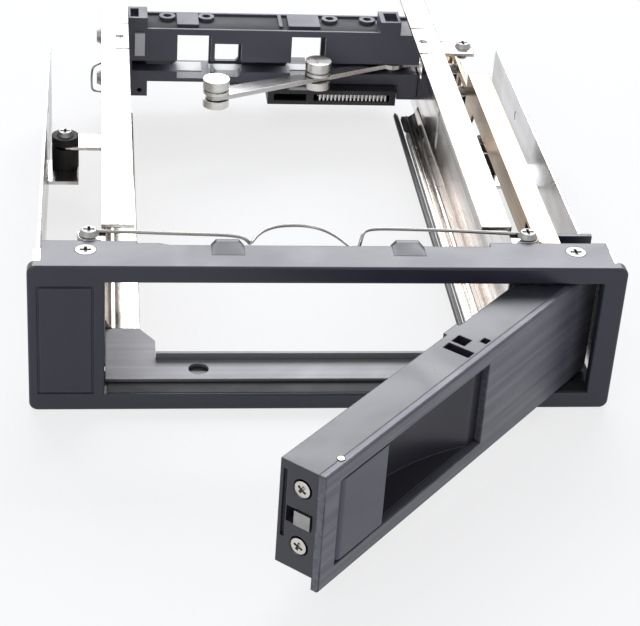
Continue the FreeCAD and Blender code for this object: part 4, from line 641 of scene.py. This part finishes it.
# Rubber mounts and the bead's tip: black moulded rubber, dusty and matt. The mounts sit between
# the rails and the outer plates on shoulder screws, and the tip closes the bead's rear end.
BEAD_TIP_FRONT, BEAD_TIP_REAR = 147.7, 158
rubber = moulded("mount_rubber", dark=(0.010, 0.010, 0.011, 1), light=(0.022, 0.022, 0.024, 1),
                 edge_wear_and_light=(0.05, 0.05, 0.055, 1), low=0.55, high=0.75, skin=1800.0, bump=0.12)
dress(rubber, "grommet_left", "grommet_right")
tip_path = straight_run(BEAD_X, BEAD_TIP_FRONT, BEAD_TIP_REAR, FOOT_FACE)
tip = closed_skin("slide_bead_tip", carried(tip_path, bead_profile, rounded_ends(24, 12)),
                  "cage", rubber)
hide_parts("slide_strip")

# Rear bracket: black glass-filled nylon, moulded with its windows, bosses and feet, a little
# rougher than the frame and screwed between the rails. A matt near-black sheet lies in the well of its roof
# as a painted shade.
WELL_LEFT, WELL_RIGHT, WELL_Y, WELL_Z = -46.3, 33.4, 171.75, 32.2
bracket_black = moulded("bracket_black", dark=(0.070, 0.072, 0.094, 1), light=(0.092, 0.095, 0.124, 1),
                        edge_wear_and_light=(0.16, 0.17, 0.21, 1), low=0.36, high=0.50, skin=1900.0, bump=0.10)
dress(bracket_black, "rear_bracket")
well_profile = thin_slab(front=6.1, back=6.1, low=-0.05, shoulder=0.08, top=0.14, bevel=0.1)
closed_skin("roof_well_painted_shade", carried(run_across(WELL_LEFT, WELL_RIGHT, WELL_Y, WELL_Z, 40), well_profile),
            "cage", painted_shade_black)

# Sockets: black plastic housings soldered to the board, the drive's in front and the cable's
# behind, with rows of thin metal contacts. The part of the row for power is made as one comb.
socket_black = moulded("socket_black", dark=(0.010, 0.010, 0.012, 1), light=(0.018, 0.018, 0.021, 1),
                       edge_wear_and_light=(0.08, 0.08, 0.09, 1), low=0.40, high=0.55)
dress(socket_black, "sata_connector", "cable_socket")
contact_gold = brushed("contact_gold", dark=(0.70, 0.55, 0.30, 1), light=(0.88, 0.74, 0.45, 1),
                       edge_wear_and_light=(0.95, 0.85, 0.60, 1), low=0.15, high=0.25, stretch=(2600, 2600, 200), bump=0.04)
dress(contact_gold, "sata_contacts")
COMB_PITCH, TOOTH_WIDE, STEP_SLOPE = 1.27, 0.55, 0.01
TOOTH_FRONT, COMB_FRONT, COMB_BACK = 159.62, 160.75, 160.85
COMB_LOW, COMB_TOP = 11.05, 13.15


def contact_comb(name, start, end):
    """Comb along a line: a closed box-shaped skin whose front face steps forward for the width of
    a tooth at the start of each pitch, and back for the rest of it."""
    starts = np.arange(start, end, COMB_PITCH)
    ends = np.sort(np.concatenate([starts, starts + TOOTH_WIDE]))
    along = np.repeat(ends, 2) + np.tile([-STEP_SLOPE, STEP_SLOPE], len(ends))
    out = np.concatenate([[0], np.repeat(np.arange(len(ends) - 1) % 2 == 0, 2), [0]])
    front, back = np.where(out, TOOTH_FRONT, COMB_FRONT), np.full(len(along), COMB_BACK)
    corner_z = np.tile([COMB_LOW, COMB_TOP, COMB_TOP, COMB_LOW], (len(along), 1))
    corner_y = np.stack([front, front, back, back], 1)
    loops = np.stack([np.repeat(along[:, None], 4, 1), corner_y, corner_z], -1) / MM_PER_M
    return closed_skin(name, loops, "cage", nickel)


contact_comb("contact_comb_power", 14.3, 36.8)

# White nylon header on the back of the board, moulded, and thin pale slips of the same white material on the
# bracket's sill, one under each window, as a painted sheen on the sill.
SHEEN_Z, SHEEN_BEVEL = 16.0, 0.15
nylon_white = moulded("nylon_white", dark=(0.78, 0.78, 0.76, 1), light=(0.84, 0.84, 0.83, 1),
                      edge_wear_and_light=(0.9, 0.9, 0.9, 1), low=0.35, high=0.5, bump=0.04)
dress(nylon_white, "wire_header")
for name, left_end, right_end, front, rear in (("sill_painted_sheen_a", -33.0, -23.5, 170.2, 177.3),
                                               ("sill_painted_sheen_b", 4.4, 13.0, 172.2, 176.9),
                                               ("sill_painted_sheen_c", -21.2, -10.0, 167.6, 176.0)):
    wide = (right_end - left_end) / 2
    sheen_slab = thin_slab(front=wide, back=wide, low=-0.03, shoulder=0.12, top=0.2, bevel=SHEEN_BEVEL)
    closed_skin(name, carried(straight_run((left_end + right_end) / 2, front, rear, SHEEN_Z), sheen_slab),
                "cage", nylon_white)

# Backplane board: a green glass-fibre board screwed behind the bracket, cut lower only where its
# sockets sit. It stands for the plain board of the CAD model.
BOARD_FRONT, BOARD_BACK, BOARD_TOP = 179.0, 180.6, 14.4
CUT_SLOPE = 0.02
board_green = moulded("board_mask", dark=(0.012, 0.030, 0.022, 1), light=(0.018, 0.042, 0.030, 1),
                      edge_wear_and_light=(0.30, 0.24, 0.12, 1), low=0.28, high=0.4)
cuts = np.array([-47.6, -20.6, -20.6, -8.4, -8.4, -3.2, -3.2, 40.2, 40.2, 46.8])
cuts[2::2] += CUT_SLOPE
under = np.repeat([8.8, 7.2, 8.8, 5.0, 8.8], 2)
over = np.full(len(cuts), BOARD_TOP)
board_y = np.tile([BOARD_FRONT, BOARD_BACK, BOARD_BACK, BOARD_FRONT], (len(cuts), 1))
board_z = np.stack([under, under, over, over], 1)
board_loops = np.stack([np.repeat(cuts[:, None], 4, 1), board_y, board_z], -1) / MM_PER_M
board = closed_skin("board_cut", board_loops, "cage", board_green)
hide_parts("backplane_board")

# Light guide: a small flat piece of clear acrylic, faintly cloudy, on the front of the bracket. It
# shows the light of the board's lamp.
clear, tree = blank_material("clear_acrylic")
cloud = use_group(tree, mould_skin, Scale=900.0, Depth=0.4)
tint = blend_colours(tree, cloud["Tone"], (0.86, 0.88, 0.90, 1), (0.93, 0.94, 0.95, 1))
marks = use_group(tree, hand_marks, Low=0.06, High=0.16, Size=300.0)
glassy = shade(tree, "BsdfPrincipled", {"Base Color": tint, "Roughness": marks["Roughness"],
                                        "Transmission Weight": 0.25, "IOR": 1.49})
shade(tree, "OutputMaterial", {"Surface": glassy.outputs[0]})
dress(clear, "light_pipe")
